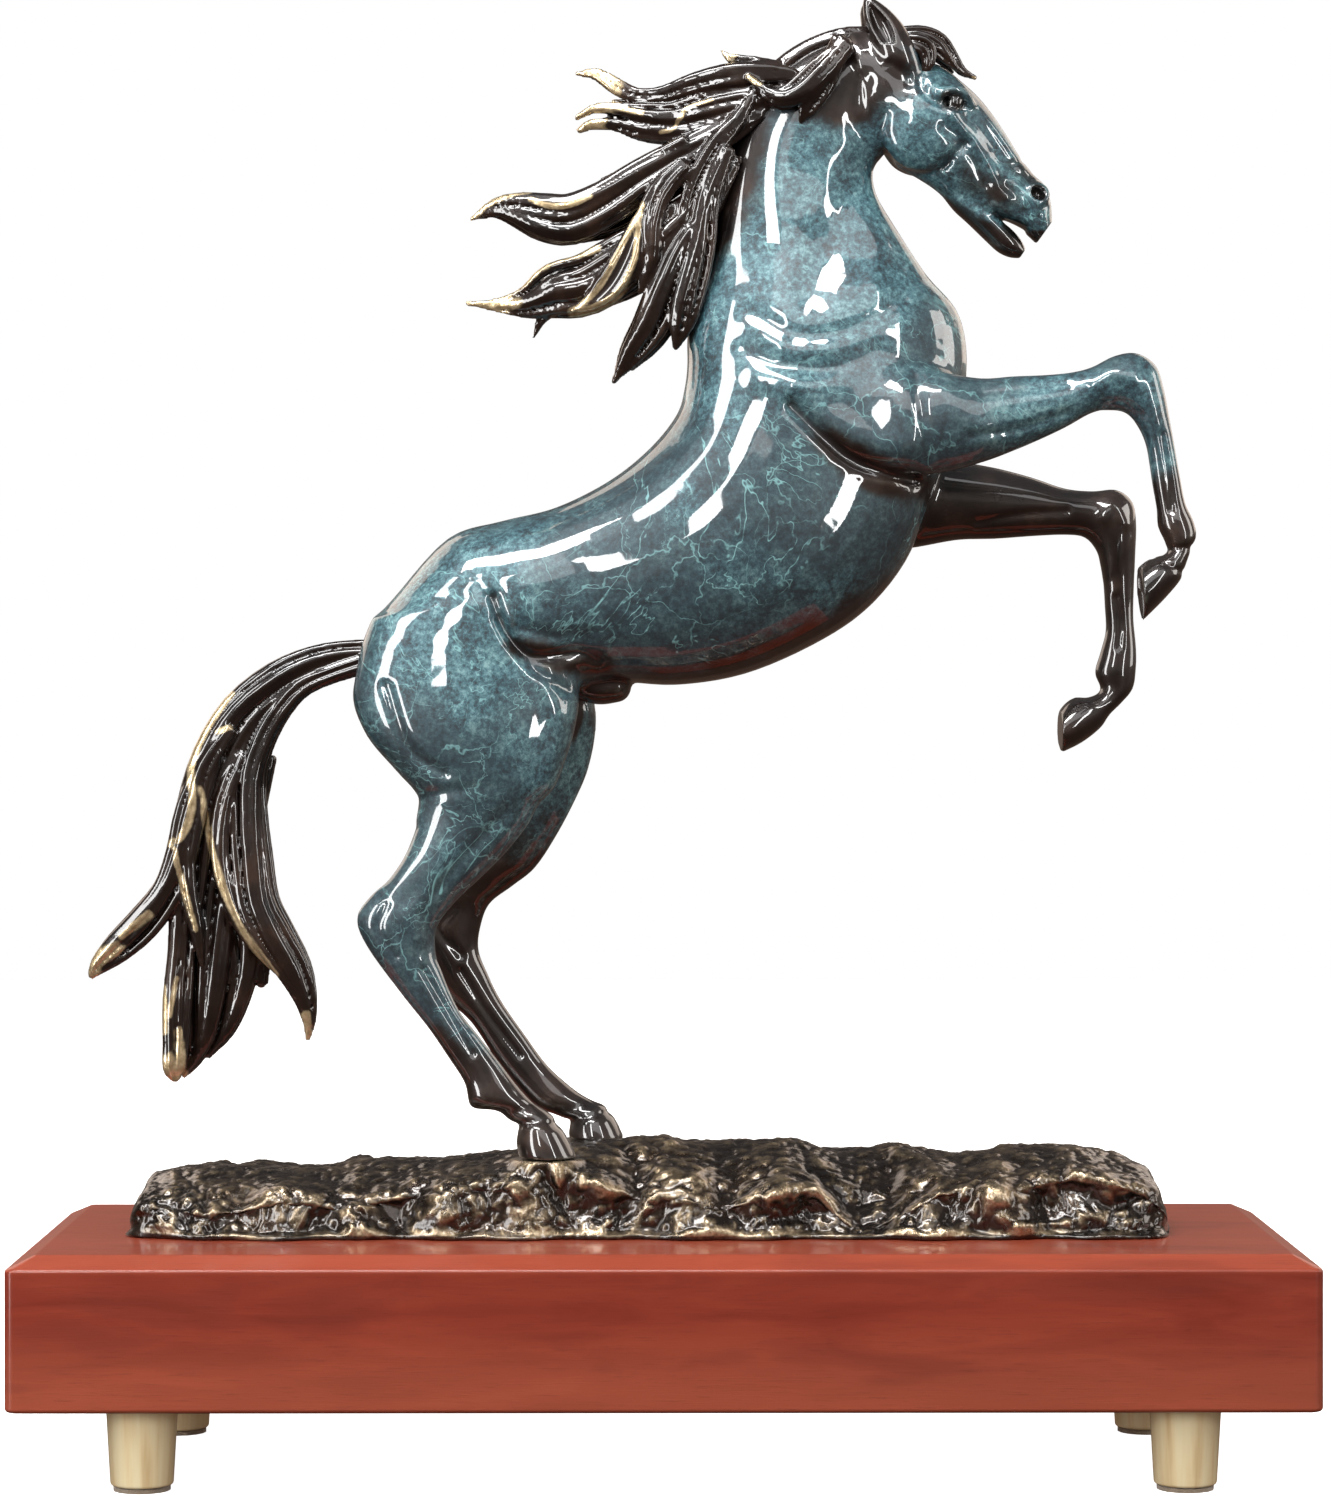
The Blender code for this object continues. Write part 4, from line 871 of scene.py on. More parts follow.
def rock_profile(x):
    """(y, z) corners of the rock's section at x, from the front foot over the top to the back foot."""
    crest = np.interp(x, *zip(*ROCK_CREST))
    front = np.interp(x, *zip(*ROCK_SHOULDER))
    back = np.interp(-x + 6, *zip(*ROCK_SHOULDER)) * 0.5 + crest * 0.5 - 4
    near = 39.5 + 1.8 * math.sin(x / 13) + 1.2 * math.sin(x / 4.7)
    far = 39.0 + 2.4 * math.sin(x / 17 + 2) + 1.3 * math.sin(x / 5.3)
    low = ROCK_BOTTOM
    return [(-near, low), (-near - 0.6, low + 2.2), (-near + 2.0, low + 0.5 * (front - low)),
            (-near + 3.0, front - 4), (-near + 9, front), (-near + 19, 0.55 * front + 0.45 * crest),
            (0, crest), (far - 17, 0.8 * crest + 0.2 * back), (far - 7, back), (far - 2, back - 7),
            (far + 0.4, low + 2.4), (far, low)]


def lumps(at, size, height, steepness, base):
    """Rounded lumps about `size` across, from -base to height - base, with creases between."""
    near, _ = noise.voronoi(at / size)
    return height * min(1.0, (near[1] - near[0]) * steepness) - base


def rock_relief(x, y, z, upright):
    """Height of the cast rock's lumps, wrinkles and grain at a point, in millimetres.

    upright is 1 on the walls and 0 on the flat top, which is calmer.
    """
    at = Vector((x, y, z))
    warp = noise.noise_vector(at / 26) * 11
    boulders = lumps(at + warp, 30, 5.6, 1.7, 3.4) * (0.12 + 0.88 * upright)
    chips = lumps(at + warp * 0.8, 12, 1.7, 1.5, 0.9) * (0.35 + 0.65 * upright)
    flakes = lumps(at + warp * 0.4, 5, 0.9, 1.6, 0.5) * (0.5 + 0.5 * upright)
    swell = (3.0 * noise.noise(at / 31) + 1.6 * noise.noise(at / 12)) * (0.35 + 0.65 * upright)
    grit = noise.noise(at / 3.1) + 0.4 * noise.noise(at / 1.6)
    return boulders + chips + swell + flakes + 0.45 * grit


def end_shares(x):
    """Two shares that are 0 at the rock's ends and 1 further in: of the end walls, of the corners."""
    left, right = ROCK_ENDS
    up_left = math.sqrt(max(0.0, 1 - (1 - min(1.0, (x - left) / END_WALLS[0])) ** 2))
    up_right = math.sqrt(max(0.0, 1 - (1 - min(1.0, (right - x) / END_WALLS[1])) ** 2))
    outside = max(0.0, 1 - (x - left) / END_CORNERS[0], 1 - (right - x) / END_CORNERS[1])
    return up_left * up_right, math.sqrt(1 - outside**2)


def rock_ring(x, count):
    """The rock's section at x with its relief, `count` points from the front foot to the back."""
    profile = smooth_rows(rock_profile(x), 10)
    length = np.concatenate([[0], np.cumsum(np.linalg.norm(np.diff(profile, axis=0), axis=1))])
    even = np.linspace(0, length[-1], count)
    y = np.interp(even, length, profile[:, 0])
    z = np.interp(even, length, profile[:, 1])
    wall, corner = end_shares(x)
    slope = np.gradient(np.column_stack([y, z]), axis=0)
    slope /= np.linalg.norm(slope, axis=1, keepdims=True)
    rise = np.clip((z - ROCK_BOTTOM) / 4, 0, 1)
    relief = np.array([rock_relief(x, *row) for row in zip(y, z, np.abs(slope[:, 1]))])
    relief *= rise * (0.25 + 0.75 * wall)
    y = (y - slope[:, 1] * relief) * (0.82 + 0.18 * wall) * (0.6 + 0.4 * corner)
    z = ROCK_BOTTOM + (z + slope[:, 0] * relief - ROCK_BOTTOM) * (0.12 + 0.88 * wall)
    z = np.maximum(z, ROCK_BOTTOM)
    shift = 1.4 * np.array([noise.noise(Vector((x, a, b)) / 16) for a, b in zip(y, z)]) * rise * wall
    if wall < 1:
        end = ROCK_ENDS[0] if x < 0 else ROCK_ENDS[1]
        face = np.array([rock_relief(end, a, b, 1.0) for a, b in zip(y, z)])
        shift += math.copysign(1 - wall, x) * (face - 1.5) * rise
    for hoof_x, hoof_y, sole in HOOVES:
        level = ramp(15.0, 12.0, np.hypot(x + shift - hoof_x, y - hoof_y))
        level = level * ramp(106, 110, z) * ramp(-38, -34.5, y)
        z = z + (sole - 0.3 - z) * level
    return np.column_stack([x + shift, y, z])


def make_rock(material):
    """The rock: rings of points from end to end, closer together near the ends."""
    columns, ring = ((500, 172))
    left, right = ROCK_ENDS
    share = (1 - np.cos(np.linspace(0, np.pi, columns))) / 2
    share = 0.35 * share + 0.65 * np.linspace(0, 1, columns)
    points = np.array([rock_ring(x, ring) for x in left + (right - left) * share])
    points[:, [0, -1], 2] = ROCK_BOTTOM
    index = np.arange(columns * ring).reshape(columns, ring)
    around = np.roll(index, -1, axis=1)
    quads = np.stack([index[:-1], around[:-1], around[1:], index[1:]], -1).reshape(-1, 4)
    flat = points.reshape(-1, 3)
    obj = make_mesh("rock_casting", flat, [*quads.tolist(), index[0][::-1].tolist(), index[-1].tolist()])
    above_lip = ramp(ROCK_BOTTOM + 1, ROCK_BOTTOM + 5, flat[:, 2])
    from_end = np.minimum(flat[:, 0] - left, right - flat[:, 0])
    proud = -edge_wear(flat, quads, 20) * above_lip * ramp(-2, 16, from_end)
    set_attribute(obj, "proud", np.minimum(proud, 1.2) - 0.5 * ramp(12, 2, from_end))
    obj.data.shade_smooth()
    place(obj, material, "rock_bronze", "rock_base")


# ================================================================ plinth and fittings

PLINTH = (232.5, 90.0, 31.2)  # half length, half depth, underside
BOLT_PLACES = ((-120.0, -18.0), (-120.0, 18.0), (140.0, -18.0), (140.0, 18.0))
FOOT_PLACES = ((-186.8, -63.0), (186.8, -63.0), (-186.8, 63.0), (186.8, 63.0))
# (height above the underside, inset) up the plinth's side, chamfer and top edge
PLINTH_EDGE = ((0, 1.6), (0.35, 0.7), (0.9, 0.2), (1.7, 0), (49.6, 0), (50.2, 0.15), (50.7, 0.55),
               (51.1, 1.1), (54.3, 8.2), (54.75, 9.1), (54.95, 9.8), (55.0, 10.6))
# (radius, height) of a foot, from the middle of its underside round to the bottom of its stud hole
FOOT_PROFILE = ((0, 1.8), (9.9, 1.8), (10.6, 1.95), (11.1, 2.35), (11.32, 3.0), (12.86, 29.9),
                (12.8, 30.5), (12.45, 30.85), (11.9, 30.9), (4.3, 30.9), (4.3, 14.9), (0, 14.9))


def rounded_rectangle(half_x, half_y, radius, steps):
    """Points round a rectangle with round corners, `steps` lengths to a corner."""
    turn = np.linspace(0, math.pi / 2, steps + 1)
    points = []
    for quarter, (sx, sy) in enumerate(((1, 1), (-1, 1), (-1, -1), (1, -1))):
        middle_x, middle_y = sx * (half_x - radius), sy * (half_y - radius)
        for a in turn + quarter * math.pi / 2:
            points.append((middle_x + radius * math.cos(a), middle_y + radius * math.sin(a)))
    return points


def soften(obj, degrees):
    """Smooth shading that keeps large faces flat and edges sharper than `degrees` crisp."""
    obj.data.shade_smooth()
    obj.data.set_sharp_from_angle(angle=math.radians(degrees))
    weighted = obj.modifiers.new("weighted_normals", "WEIGHTED_NORMAL")
    weighted.keep_sharp = True
    weighted.weight = 80


def lathe(name, profile, sides, middle):
    """A closed turned solid; the profile runs from the axis, out and up, back to the axis."""
    turn = np.linspace(0, 2 * math.pi, sides, endpoint=False)
    points, rings = [], []
    for radius, z in profile:
        first = len(points)
        if radius == 0:
            points.append((middle[0], middle[1], z))
            rings.append([first] * sides)
        else:
            points += [(middle[0] + radius * math.cos(a), middle[1] + radius * math.sin(a), z)
                       for a in turn]
            rings.append(list(range(first, first + sides)))
    faces = []
    for low, high in zip(rings, rings[1:]):
        for i in range(sides):
            j = (i + 1) % sides
            face = [low[i], low[j], high[j], high[i]]
            faces.append(list(dict.fromkeys(face)))
    return make_mesh(name, points, faces)


def drill(obj, places, high, radius):
    """Round holes up to the height `high`, from below the object."""
    low = 20
    for i, middle in enumerate(places):
        bit = lathe(f"bit_{i}", ((0, low), (radius, low), (radius, high), (0, high)), 32, middle)
        cut = obj.modifiers.new("hole", "BOOLEAN")
        cut.operation, cut.solver, cut.object = "DIFFERENCE", "EXACT", bit
        bpy.context.view_layer.update()
        shape = bpy.data.meshes.new_from_object(obj.evaluated_get(bpy.context.evaluated_depsgraph_get()))
        obj.modifiers.clear()
        obj.data = shape
        bpy.data.objects.remove(bit)


def make_plinth(material):
    """The plinth: rings up its edge, with the holes for the bolts, the inserts and the studs."""
    half_x, half_y, low = PLINTH
    points, faces, rings = [], [], []
    for height, inset in PLINTH_EDGE:
        corner = max(1.2, 3.6 - 0.25 * inset)
        outline = rounded_rectangle(half_x - inset, half_y - inset, corner, 6)
        rings.append(list(range(len(points), len(points) + len(outline))))
        points += [(x, y, low + height) for x, y in outline]
    count = len(rings[0])
    for a, b in zip(rings, rings[1:]):
        faces += [[a[i], a[(i + 1) % count], b[(i + 1) % count], b[i]] for i in range(count)]
    faces += [rings[0][::-1], rings[-1]]
    obj = make_mesh("plinth_body", points, faces)
    drill(obj, BOLT_PLACES, 120, 3.3)  # right through, for the bolts
    drill(obj, BOLT_PLACES, low + 12, 9.6)  # for the bolts' heads
    drill(obj, FOOT_PLACES, low + 13.3, 6.8)  # for the inserts
    drill(obj, FOOT_PLACES, 57, 4.3)  # for the studs' ends
    soften(obj, 35)
    place(obj, material, "plinth_wood", "plinth")


def make_feet(material, light):
    """The four feet, and a soft light of their own that brings out the brass."""
    feet = bpy.data.collections.new("brass_feet")
    bpy.context.scene.collection.children.link(feet)
    for i, middle in enumerate(FOOT_PLACES):
        obj = lathe(f"turned_foot_{i + 1}", FOOT_PROFILE, 96, middle)
        soften(obj, 40)
        place(obj, material, "foot_brass", f"foot_{i + 1}")
        feet.objects.link(obj)
    light.light_linking.receiver_collection = feet


def dress_fittings(steel, brass, felt):
    """Finishes for the small fittings, whose CAD shapes stay."""
    for name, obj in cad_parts.items():
        finish = None
        if name.startswith("felt_pad"):
            finish = felt
        elif name.startswith("threaded_insert"):
            finish = brass
        elif name.startswith(("foot_stud", "base_bolt", "base_washer")) or "_hoof_" in name:
            finish = steel
        if finish:
            obj.data.materials.clear()
            obj.data.materials.append(finish)


# ================================================================ materials


class Finish:
    """A material under construction: short ways to add shader nodes."""

    def __init__(self, name):
        self.material = bpy.data.materials.new(name)
        self.material.use_nodes = True
        self.tree = self.material.node_tree
        self.shader = self.tree.nodes["Principled BSDF"]
        self.where = self.tree.nodes.new("ShaderNodeTexCoord").outputs["Object"]

    def node(self, kind, settings=(), **inputs):
        """A new node; an input is given by its name, or as i0, i1... by its place."""
        made = self.tree.nodes.new(kind)
        for key, value in dict(settings).items():
            setattr(made, key, value)
        for key, value in inputs.items():
            self.feed(made.inputs[int(key[1:]) if key[0] == "i" and key[1:].isdigit() else key], value)
        return made

    def feed(self, socket, value):
        """Link a socket or set a value or a colour."""
        if isinstance(value, bpy.types.NodeSocket):
            self.tree.links.new(value, socket)
        elif isinstance(value, tuple) and len(value) == 3 and socket.type == "RGBA":
            socket.default_value = (*value, 1)
        else:
            socket.default_value = value

    def set(self, **inputs):
        for key, value in inputs.items():
            self.feed(self.shader.inputs[key.replace("_", " ")], value)

    def noise(self, scale, detail=4.0, rough=0.55, distort=0.0, at=None):
        made = self.node("ShaderNodeTexNoise", Vector=at or self.where, Scale=scale, Detail=detail,
                         Roughness=rough, Distortion=distort)
        return made.outputs["Fac"]

    def stretched(self, scale, turn=(0.0, 0.0, 0.0)):
        return self.node("ShaderNodeMapping", Vector=self.where, Scale=scale, Rotation=turn).outputs[0]

    def calc(self, operation, a, b=0.0, c=0.0):
        return self.node("ShaderNodeMath", {"operation": operation}, i0=a, i1=b, i2=c).outputs[0]

    def times(self, value, gain):
        return self.calc("MULTIPLY", value, gain)

    def scaled(self, value, gain, offset):
        return self.calc("MULTIPLY_ADD", value, gain, offset)

    def swing(self, cloud, gain):
        """A noise turned into ups and downs round 0."""
        return self.times(self.calc("SUBTRACT", cloud, 0.5), gain)

    def step(self, value, low, high):
        """Smooth step from 0 at `low` to 1 at `high`."""
        smooth = {"interpolation_type": "SMOOTHSTEP"}
        return self.node("ShaderNodeMapRange", smooth, i0=value, i1=low, i2=high).outputs[0]

    def mix(self, share, a, b):
        made = self.tree.nodes.new("ShaderNodeMix")
        made.data_type = "RGBA"
        self.feed(made.inputs[0], share)
        self.feed(made.inputs[6], a)
        self.feed(made.inputs[7], b)
        return made.outputs[2]

    def ramp(self, share, *stops):
        made = self.node("ShaderNodeValToRGB", Fac=share)
        while len(made.color_ramp.elements) < len(stops):
            made.color_ramp.elements.new(0.5)
        for element, (at, colour) in zip(made.color_ramp.elements, stops):
            element.position, element.color = at, (*colour, 1)
        return made.outputs[0]

    def layer(self, name):
        return self.node("ShaderNodeAttribute", {"attribute_name": name}).outputs["Fac"]

    def cracks(self, scale, width, warp, seed):
        """Thin wandering lines, 1 on the line."""
        drift = self.node("ShaderNodeTexNoise", Vector=self.where, Scale=scale * 1.3, Detail=4.0)
        bent = self.node("ShaderNodeVectorMath", {"operation": "MULTIPLY_ADD"}, i0=drift.outputs["Color"],
                         i1=(warp / scale,) * 3, i2=self.where).outputs[0]
        moved = self.node("ShaderNodeVectorMath", {"operation": "ADD"}, i0=bent, i1=(seed,) * 3).outputs[0]
        cell = self.node("ShaderNodeTexVoronoi", {"feature": "DISTANCE_TO_EDGE"}, Vector=moved, Scale=scale)
        return self.step(cell.outputs["Distance"], width, 0.0)

    def contour(self, scale, level, width, distort):
        """One long curving line where a cloud crosses a level, 1 on the line."""
        away = self.calc("ABSOLUTE", self.calc("SUBTRACT", self.noise(scale, 5, 0.6, distort), level))
        return self.step(away, width, 0.0)

    def bump(self, height, distance, strength):
        made = self.node("ShaderNodeBump", Height=height, Distance=distance, Strength=strength)
        return made.outputs[0]


def patina_finish():
    """Glossy blue-green patina with pale veins, giving way to dark brown bronze, which also stands as
    painted shade on the far side and in the folds; near-black eyeballs, and near-black painted shade in the
    hollows, the nostrils and the mouth.
    """
    f = Finish("patina")
    cloud, mottle, speck = f.noise(27, 6, 0.62, 0.6), f.noise(120, 6, 0.65), f.noise(520, 5, 0.75)
    tone = f.scaled(speck, 0.72, f.scaled(cloud, 0.30, -0.18))
    tone = f.scaled(mottle, 0.40, tone)
    green = f.ramp(tone, (0.40, (0.016, 0.027, 0.034)), (0.475, (0.030, 0.070, 0.088)),
                   (0.535, (0.052, 0.128, 0.155)), (0.60, (0.100, 0.215, 0.240)),
                   (0.68, (0.20, 0.350, 0.360)))
    patches = f.noise(16, 3, 0.5)
    green = f.mix(f.times(f.step(patches, 0.44, 0.60), 0.72), green, (0.020, 0.034, 0.043))
    veins = f.times(f.contour(11, 0.5, 0.0048, 1.2), f.step(f.noise(10, 2), 0.38, 0.52))
    second = f.times(f.contour(19, 0.52, 0.0056, 1.6), f.step(f.noise(13, 3), 0.46, 0.60))
    small = f.times(f.cracks(40, 0.017, 1.1, 7.0), f.step(f.noise(15, 2), 0.50, 0.60))
    lines = f.calc("MAXIMUM", f.times(veins, 0.72), f.times(second, 0.55))
    lines = f.calc("MAXIMUM", lines, f.times(small, 0.5))
    lines = f.times(lines, f.step(mottle, 0.36, 0.56))
    green = f.mix(lines, green, (0.24, 0.50, 0.51))
    brown = f.ramp(f.noise(60, 6, 0.6), (0.35, (0.006, 0.0036, 0.003)), (0.55, (0.018, 0.0098, 0.0072)),
                   (0.75, (0.055, 0.030, 0.020)))
    # dark brown bronze, and painted shade where the brown layer marks the far side, the far legs and the
    # folds
    edge = f.calc("ADD", f.layer("brown"), f.swing(f.noise(70, 4), 0.9))
    bronze_and_shade_share = f.step(edge, 0.26, 0.74)
    colour = f.mix(bronze_and_shade_share, green, brown)
    proud = f.layer("proud")
    # painted shade: near-black in the hollows, where the skin lies below its surroundings
    hollow = f.step(proud, 0.0, -0.42)
    colour = f.mix(f.times(hollow, 0.8), colour, (0.010, 0.010, 0.011))
    ridge = f.times(f.step(proud, 0.08, 0.45), f.step(f.noise(180, 4), 0.42, 0.62))
    colour = f.mix(f.times(ridge, 0.30), colour, (0.26, 0.28, 0.23))
    # near-black eyeballs, and painted shade inside the nostrils and the mouth
    colour = f.mix(f.layer("eye"), colour, (0.004, 0.0035, 0.003))
    rough = f.scaled(mottle, 0.25, 0.30)
    grain = f.scaled(speck, 0.5, f.times(lines, 0.8))
    f.set(Base_Color=colour, Metallic=f.scaled(bronze_and_shade_share, 0.35, 0.12), Roughness=rough,
          Normal=f.bump(grain, 0.00025, 0.5))
    f.set(Coat_Weight=1.0, Coat_Roughness=0.04, Coat_IOR=1.72)
    return f.material


def hair_finish():
    """Near-black bronze, rubbed to brass on the tips of the locks."""
    f = Finish("dark_bronze")
    wide, fine = f.noise(45, 5, 0.6), f.noise(420, 4)
    colour = f.ramp(wide, (0.35, (0.0042, 0.0022, 0.0017)), (0.55, (0.013, 0.0065, 0.0045)),
                    (0.75, (0.042, 0.021, 0.0135)))
    proud = f.layer("proud")
    worn = f.step(f.calc("ADD", proud, f.swing(wide, 0.8)), 0.05, 0.55)
    colour = f.mix(f.times(worn, 0.24), colour, (0.085, 0.054, 0.038))
    rubbed = f.calc("ADD", f.layer("brass"), f.swing(fine, 0.25))
    rubbed = f.scaled(proud, 1.1, rubbed)
    brass = f.step(rubbed, 0.42, 0.98)
    gold = f.ramp(fine, (0.3, (0.46, 0.34, 0.18)), (0.6, (0.72, 0.58, 0.36)))
    colour = f.mix(brass, colour, gold)
    f.set(Base_Color=colour, Metallic=f.scaled(brass, 0.65, 0.15),
          Roughness=f.scaled(fine, 0.16, 0.24), Normal=f.bump(fine, 0.0002, 0.4))
    f.set(Coat_Weight=1.0, Coat_Roughness=0.03, Coat_IOR=1.65, Specular_IOR_Level=0.3)
    return f.material


def rock_finish():
    """Dark cast bronze, gilded where it stands proud."""
    f = Finish("rock_bronze")
    wide, middle, fine = f.noise(30, 5, 0.6), f.noise(130, 5, 0.6), f.noise(700, 4, 0.6)
    colour = f.ramp(wide, (0.35, (0.008, 0.0045, 0.003)), (0.55, (0.026, 0.0155, 0.0095)),
                    (0.75, (0.070, 0.044, 0.026)))
    proud = f.calc("ADD", f.layer("proud"), f.swing(middle, 2.0))
    proud = f.calc("ADD", proud, f.swing(wide, 1.2))
    worn = f.step(proud, -0.15, 1.15)
    gold = f.ramp(fine, (0.3, (0.26, 0.17, 0.09)), (0.65, (0.66, 0.52, 0.33)))
    colour = f.mix(f.times(worn, 0.66), colour, gold)
    f.set(Base_Color=colour, Metallic=0.8, Roughness=f.scaled(middle, 0.30, 0.14),
          Normal=f.bump(f.scaled(fine, 0.3, middle), 0.0009, 0.8))
    f.set(Coat_Normal=f.bump(middle, 0.0004, 0.6))
    f.set(Coat_Weight=0.8, Coat_Roughness=0.08, Coat_IOR=1.55)
    return f.material


def wood_finish():
    """Red-brown lacquered wood with the grain along X."""
    f = Finish("plinth_wood")
    along = f.stretched((1.6, 9, 9), (0.0, math.radians(5), math.radians(3)))
    bands = f.noise(9, 5, 0.55, 0.8, along)
    pores = f.noise(60, 5, 0.7, 0.0, f.stretched((1.2, 26, 26), (0.0, math.radians(4), 0.0)))
    colour = f.ramp(bands, (0.30, (0.160, 0.019, 0.009)), (0.48, (0.202, 0.027, 0.013)),
                   (0.60, (0.228, 0.033, 0.016)), (0.78, (0.268, 0.044, 0.022)))
    up = f.node("ShaderNodeSeparateXYZ", Vector=f.where).outputs["Z"]
    colour = f.mix(f.times(f.step(up, 0.068, 0.036), 0.42), colour, (0.36, 0.092, 0.048))
    # painted light: the chamfer and the top are lighter and more orange, for the reflected light they catch
    colour = f.mix(f.times(f.step(up, 0.0795, 0.0825), 0.40), colour, (0.42, 0.085, 0.040))
    slanting = f.stretched((2.2, 9, 9), (0.0, math.radians(24), 0.0))
    streak = f.step(f.noise(5, 3, 0.5, 0.4, slanting), 0.56, 0.68)
    colour = f.mix(f.times(streak, 0.35), colour, (0.135, 0.022, 0.013))
    colour = f.mix(f.times(f.step(pores, 0.55, 0.70), 0.30), colour, (0.085, 0.012, 0.008))
    f.set(Base_Color=colour, Roughness=f.scaled(pores, 0.18, 0.30),
          Normal=f.bump(pores, 0.00012, 0.5))
    f.set(Coat_Weight=0.35, Coat_Roughness=0.12, Coat_IOR=1.5, Specular_IOR_Level=0.3)
    return f.material


def brass_finish(name="satin_brass"):
    """Satin brass, brushed upwards, with painted reflection: vertical light and dark bands in its colour.
    """
    f = Finish(name)
    brushing_and_reflection_bands = f.noise(170, 3, 0.55, 0.0, f.stretched((1.0, 1.0, 0.04)))
    # painted reflection: the light and dark vertical bands in the colour stand in for reflected light
    colour = f.ramp(brushing_and_reflection_bands, (0.34, (0.74, 0.54, 0.28)), (0.48, (0.95, 0.77, 0.46)),
                    (0.62, (1.0, 0.87, 0.56)))
    f.set(Base_Color=colour, Metallic=0.55, Roughness=f.scaled(brushing_and_reflection_bands, 0.1, 0.2),
          Normal=f.bump(brushing_and_reflection_bands, 0.00002, 0.3))
    f.set(Anisotropic=0.5)
    return f.material


def steel_finish():
    """Zinc-plated steel for the hidden bolts, studs, nuts and washers."""
    f = Finish("zinc_steel")
    flakes = f.node("ShaderNodeTexVoronoi", Vector=f.where, Scale=700.0).outputs["Distance"]
    haze = f.noise(240, 5)
    colour = f.ramp(haze, (0.3, (0.42, 0.43, 0.44)), (0.7, (0.62, 0.62, 0.61)))
    f.set(Base_Color=colour, Metallic=1.0, Roughness=f.scaled(flakes, 0.25, 0.24),
          Normal=f.bump(haze, 0.0001, 0.5))
    return f.material


def felt_finish():
    """Beige felt."""
    f = Finish("felt")
    fibres = f.noise(1600, 6, 0.75, 1.5)
    colour = f.ramp(fibres, (0.3, (0.23, 0.17, 0.11)), (0.7, (0.42, 0.33, 0.23)))
    f.set(Base_Color=colour, Roughness=0.95, Normal=f.bump(fibres, 0.0006, 1.0))
    f.set(Sheen_Weight=0.6, Sheen_Roughness=0.5)
    return f.material


# ================================================================ stage

WHITE = (1, 1, 1)
WARM = (1.0, 0.84, 0.72)
# Colours of the room from straight down (0) over the horizon (0.5) to straight up (1)
ROOM_COLOURS = ((0.0, (0.20, 0.11, 0.08)), (0.47, (0.30, 0.20, 0.15)), (0.54, (0.62, 0.52, 0.45)),
                (0.66, (0.19, 0.15, 0.13)), (1.0, (0.42, 0.43, 0.45)))
# name, place, width and height, power, colour; lengths in metres
SOFTBOXES = (
    ("overhead", (-0.35, -0.80, 1.70), (1.0, 0.34), 26, WHITE),
    ("left_window", (-1.35, -1.00, 0.75), (0.40, 1.9), 27, WHITE),
    ("near_window", (-0.62, -2.10, 1.30), (0.26, 1.1), 13, WHITE),
    ("right_window", (1.25, -1.60, 0.80), (0.14, 1.6), 11, WHITE),
    ("front_fill", (0.5, -2.2, 2.1), (2.0, 1.4), 14, WHITE),
    ("bow_side", (1.9, -0.1, 0.9), (0.7, 1.3), 14, (1.0, 0.95, 0.9)),
    ("back_left", (-1.3, 1.5, 1.2), (1.4, 1.4), 10, WARM),
    ("back_right", (1.3, 1.5, 1.2), (1.4, 1.4), 10, WARM),
)
FOOT_LIGHT = ("foot_light", (-0.3, -1.7, 0.5), (1.6, 0.5), 22, WHITE)
FIGURE_MIDDLE = (0, 0, 0.3)
FLOOR_REACH = 3000


def make_camera():
    """The view along +Y, a little below the figure's middle."""
    data = bpy.data.cameras.new("camera")
    data.lens = 103.1
    data.sensor_width = 36.0
    camera = bpy.data.objects.new("camera", data)
    camera.location = (-0.0086, -1.600, 0.2735)
    camera.rotation_euler = (math.radians(90 - 0.33), 0.0, math.radians(-0.34))
    bpy.context.scene.collection.objects.link(camera)
    bpy.context.scene.camera = camera


def softbox(name, location, size, power, colour, target=FIGURE_MIDDLE):
    """A rectangular light that the camera itself doesn't see."""
    data = bpy.data.lights.new(name, "AREA")
    data.shape, data.size, data.size_y = "RECTANGLE", *size
    data.energy, data.color = power, colour
    light = bpy.data.objects.new(name, data)
    light.location = location
    aim = Vector(target) - Vector(location)
    light.rotation_euler = aim.to_track_quat("-Z", "Y").to_euler()
    light.visible_camera = False
    bpy.context.scene.collection.objects.link(light)
    return light


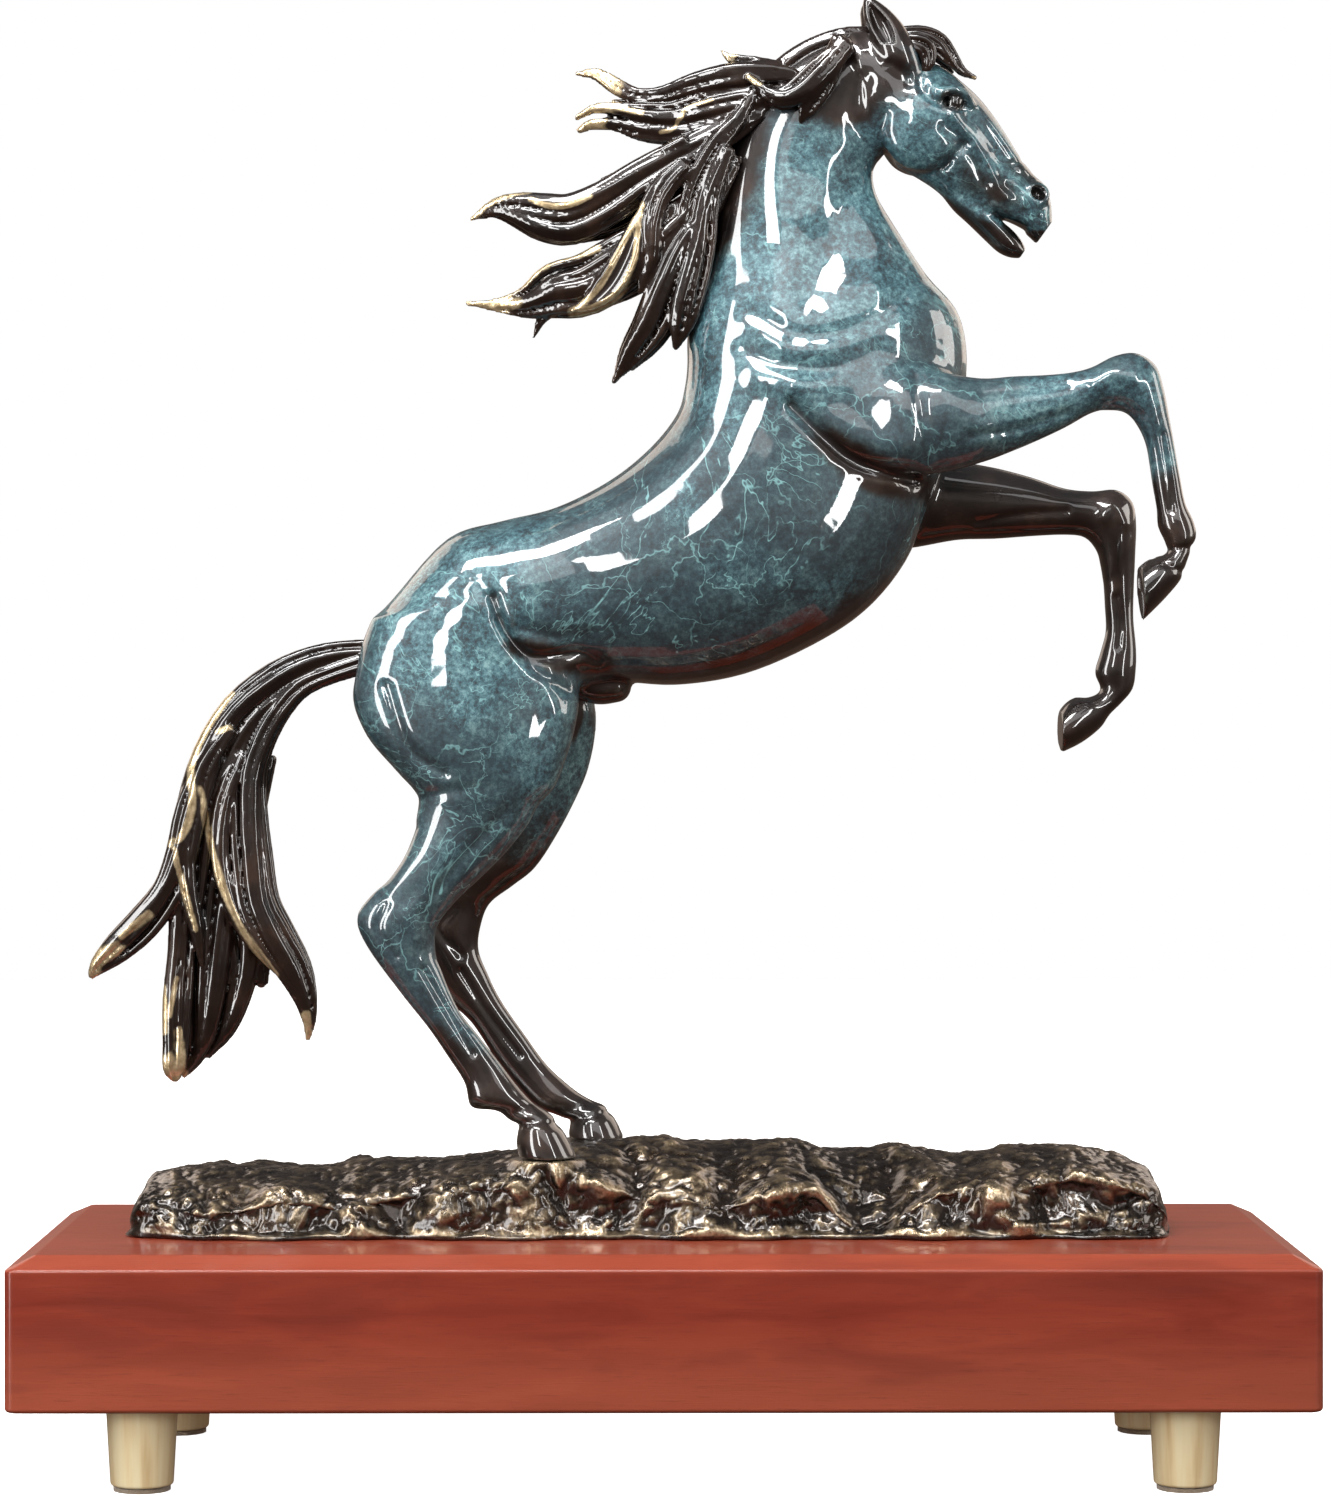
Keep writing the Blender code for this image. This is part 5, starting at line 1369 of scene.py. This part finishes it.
def make_world():
    """White for the camera, a dim warm room for everything else."""
    world = bpy.data.worlds.new("studio")
    world.use_nodes = True
    tree = world.node_tree
    room = tree.nodes["Background"]
    height = tree.nodes.new("ShaderNodeTexCoord")
    split = tree.nodes.new("ShaderNodeSeparateXYZ")
    tree.links.new(height.outputs["Generated"], split.inputs[0])
    ramp_node = tree.nodes.new("ShaderNodeValToRGB")
    while len(ramp_node.color_ramp.elements) < len(ROOM_COLOURS):
        ramp_node.color_ramp.elements.new(0.5)
    for element, (at, colour) in zip(ramp_node.color_ramp.elements, ROOM_COLOURS):
        element.position, element.color = at, (*colour, 1)
    half = tree.nodes.new("ShaderNodeMath")
    half.operation = "MULTIPLY_ADD"
    half.inputs[1].default_value = half.inputs[2].default_value = 0.5
    tree.links.new(split.outputs["Z"], half.inputs[0])
    tree.links.new(half.outputs[0], ramp_node.inputs[0])
    tree.links.new(ramp_node.outputs[0], room.inputs["Color"])
    room.inputs["Strength"].default_value = 0.40
    white = tree.nodes.new("ShaderNodeBackground")
    white.inputs["Color"].default_value = (1, 1, 1, 1)
    path = tree.nodes.new("ShaderNodeLightPath")
    both = tree.nodes.new("ShaderNodeMixShader")
    tree.links.new(path.outputs["Is Camera Ray"], both.inputs[0])
    tree.links.new(room.outputs[0], both.inputs[1])
    tree.links.new(white.outputs[0], both.inputs[2])
    tree.links.new(both.outputs[0], tree.nodes["World Output"].inputs["Surface"])
    bpy.context.scene.world = world
    bpy.context.scene.view_settings.view_transform = "Standard"


def make_floor():
    """A white floor that neither tints nor shows in the object's surfaces."""
    corners = [(x * FLOOR_REACH, y * FLOOR_REACH, 0) for x, y in ((-1, -1), (1, -1), (1, 1), (-1, 1))]
    floor = make_mesh("floor", corners, [(0, 1, 2, 3)])
    f = Finish("pale_floor")
    grain = f.noise(3, 2)
    f.set(Base_Color=f.ramp(grain, (0.0, (0.92, 0.92, 0.92)), (1.0, (0.95, 0.95, 0.95))), Roughness=0.9)
    f.set(Emission_Color=(1.0, 1.0, 1.0), Emission_Strength=1.0, Specular_IOR_Level=0.0)
    floor.data.materials.append(f.material)
    floor.visible_glossy = False
    floor.visible_diffuse = False


make_camera()
make_world()
for settings in SOFTBOXES:
    softbox(*settings)
make_floor()
make_castings(patina_finish())
make_hair(hair_finish())
make_rock(rock_finish())
make_plinth(wood_finish())
make_feet(brass_finish(), softbox(*FOOT_LIGHT, target=(0, 0, 0)))
dress_fittings(steel_finish(), brass_finish("insert_brass"), felt_finish())
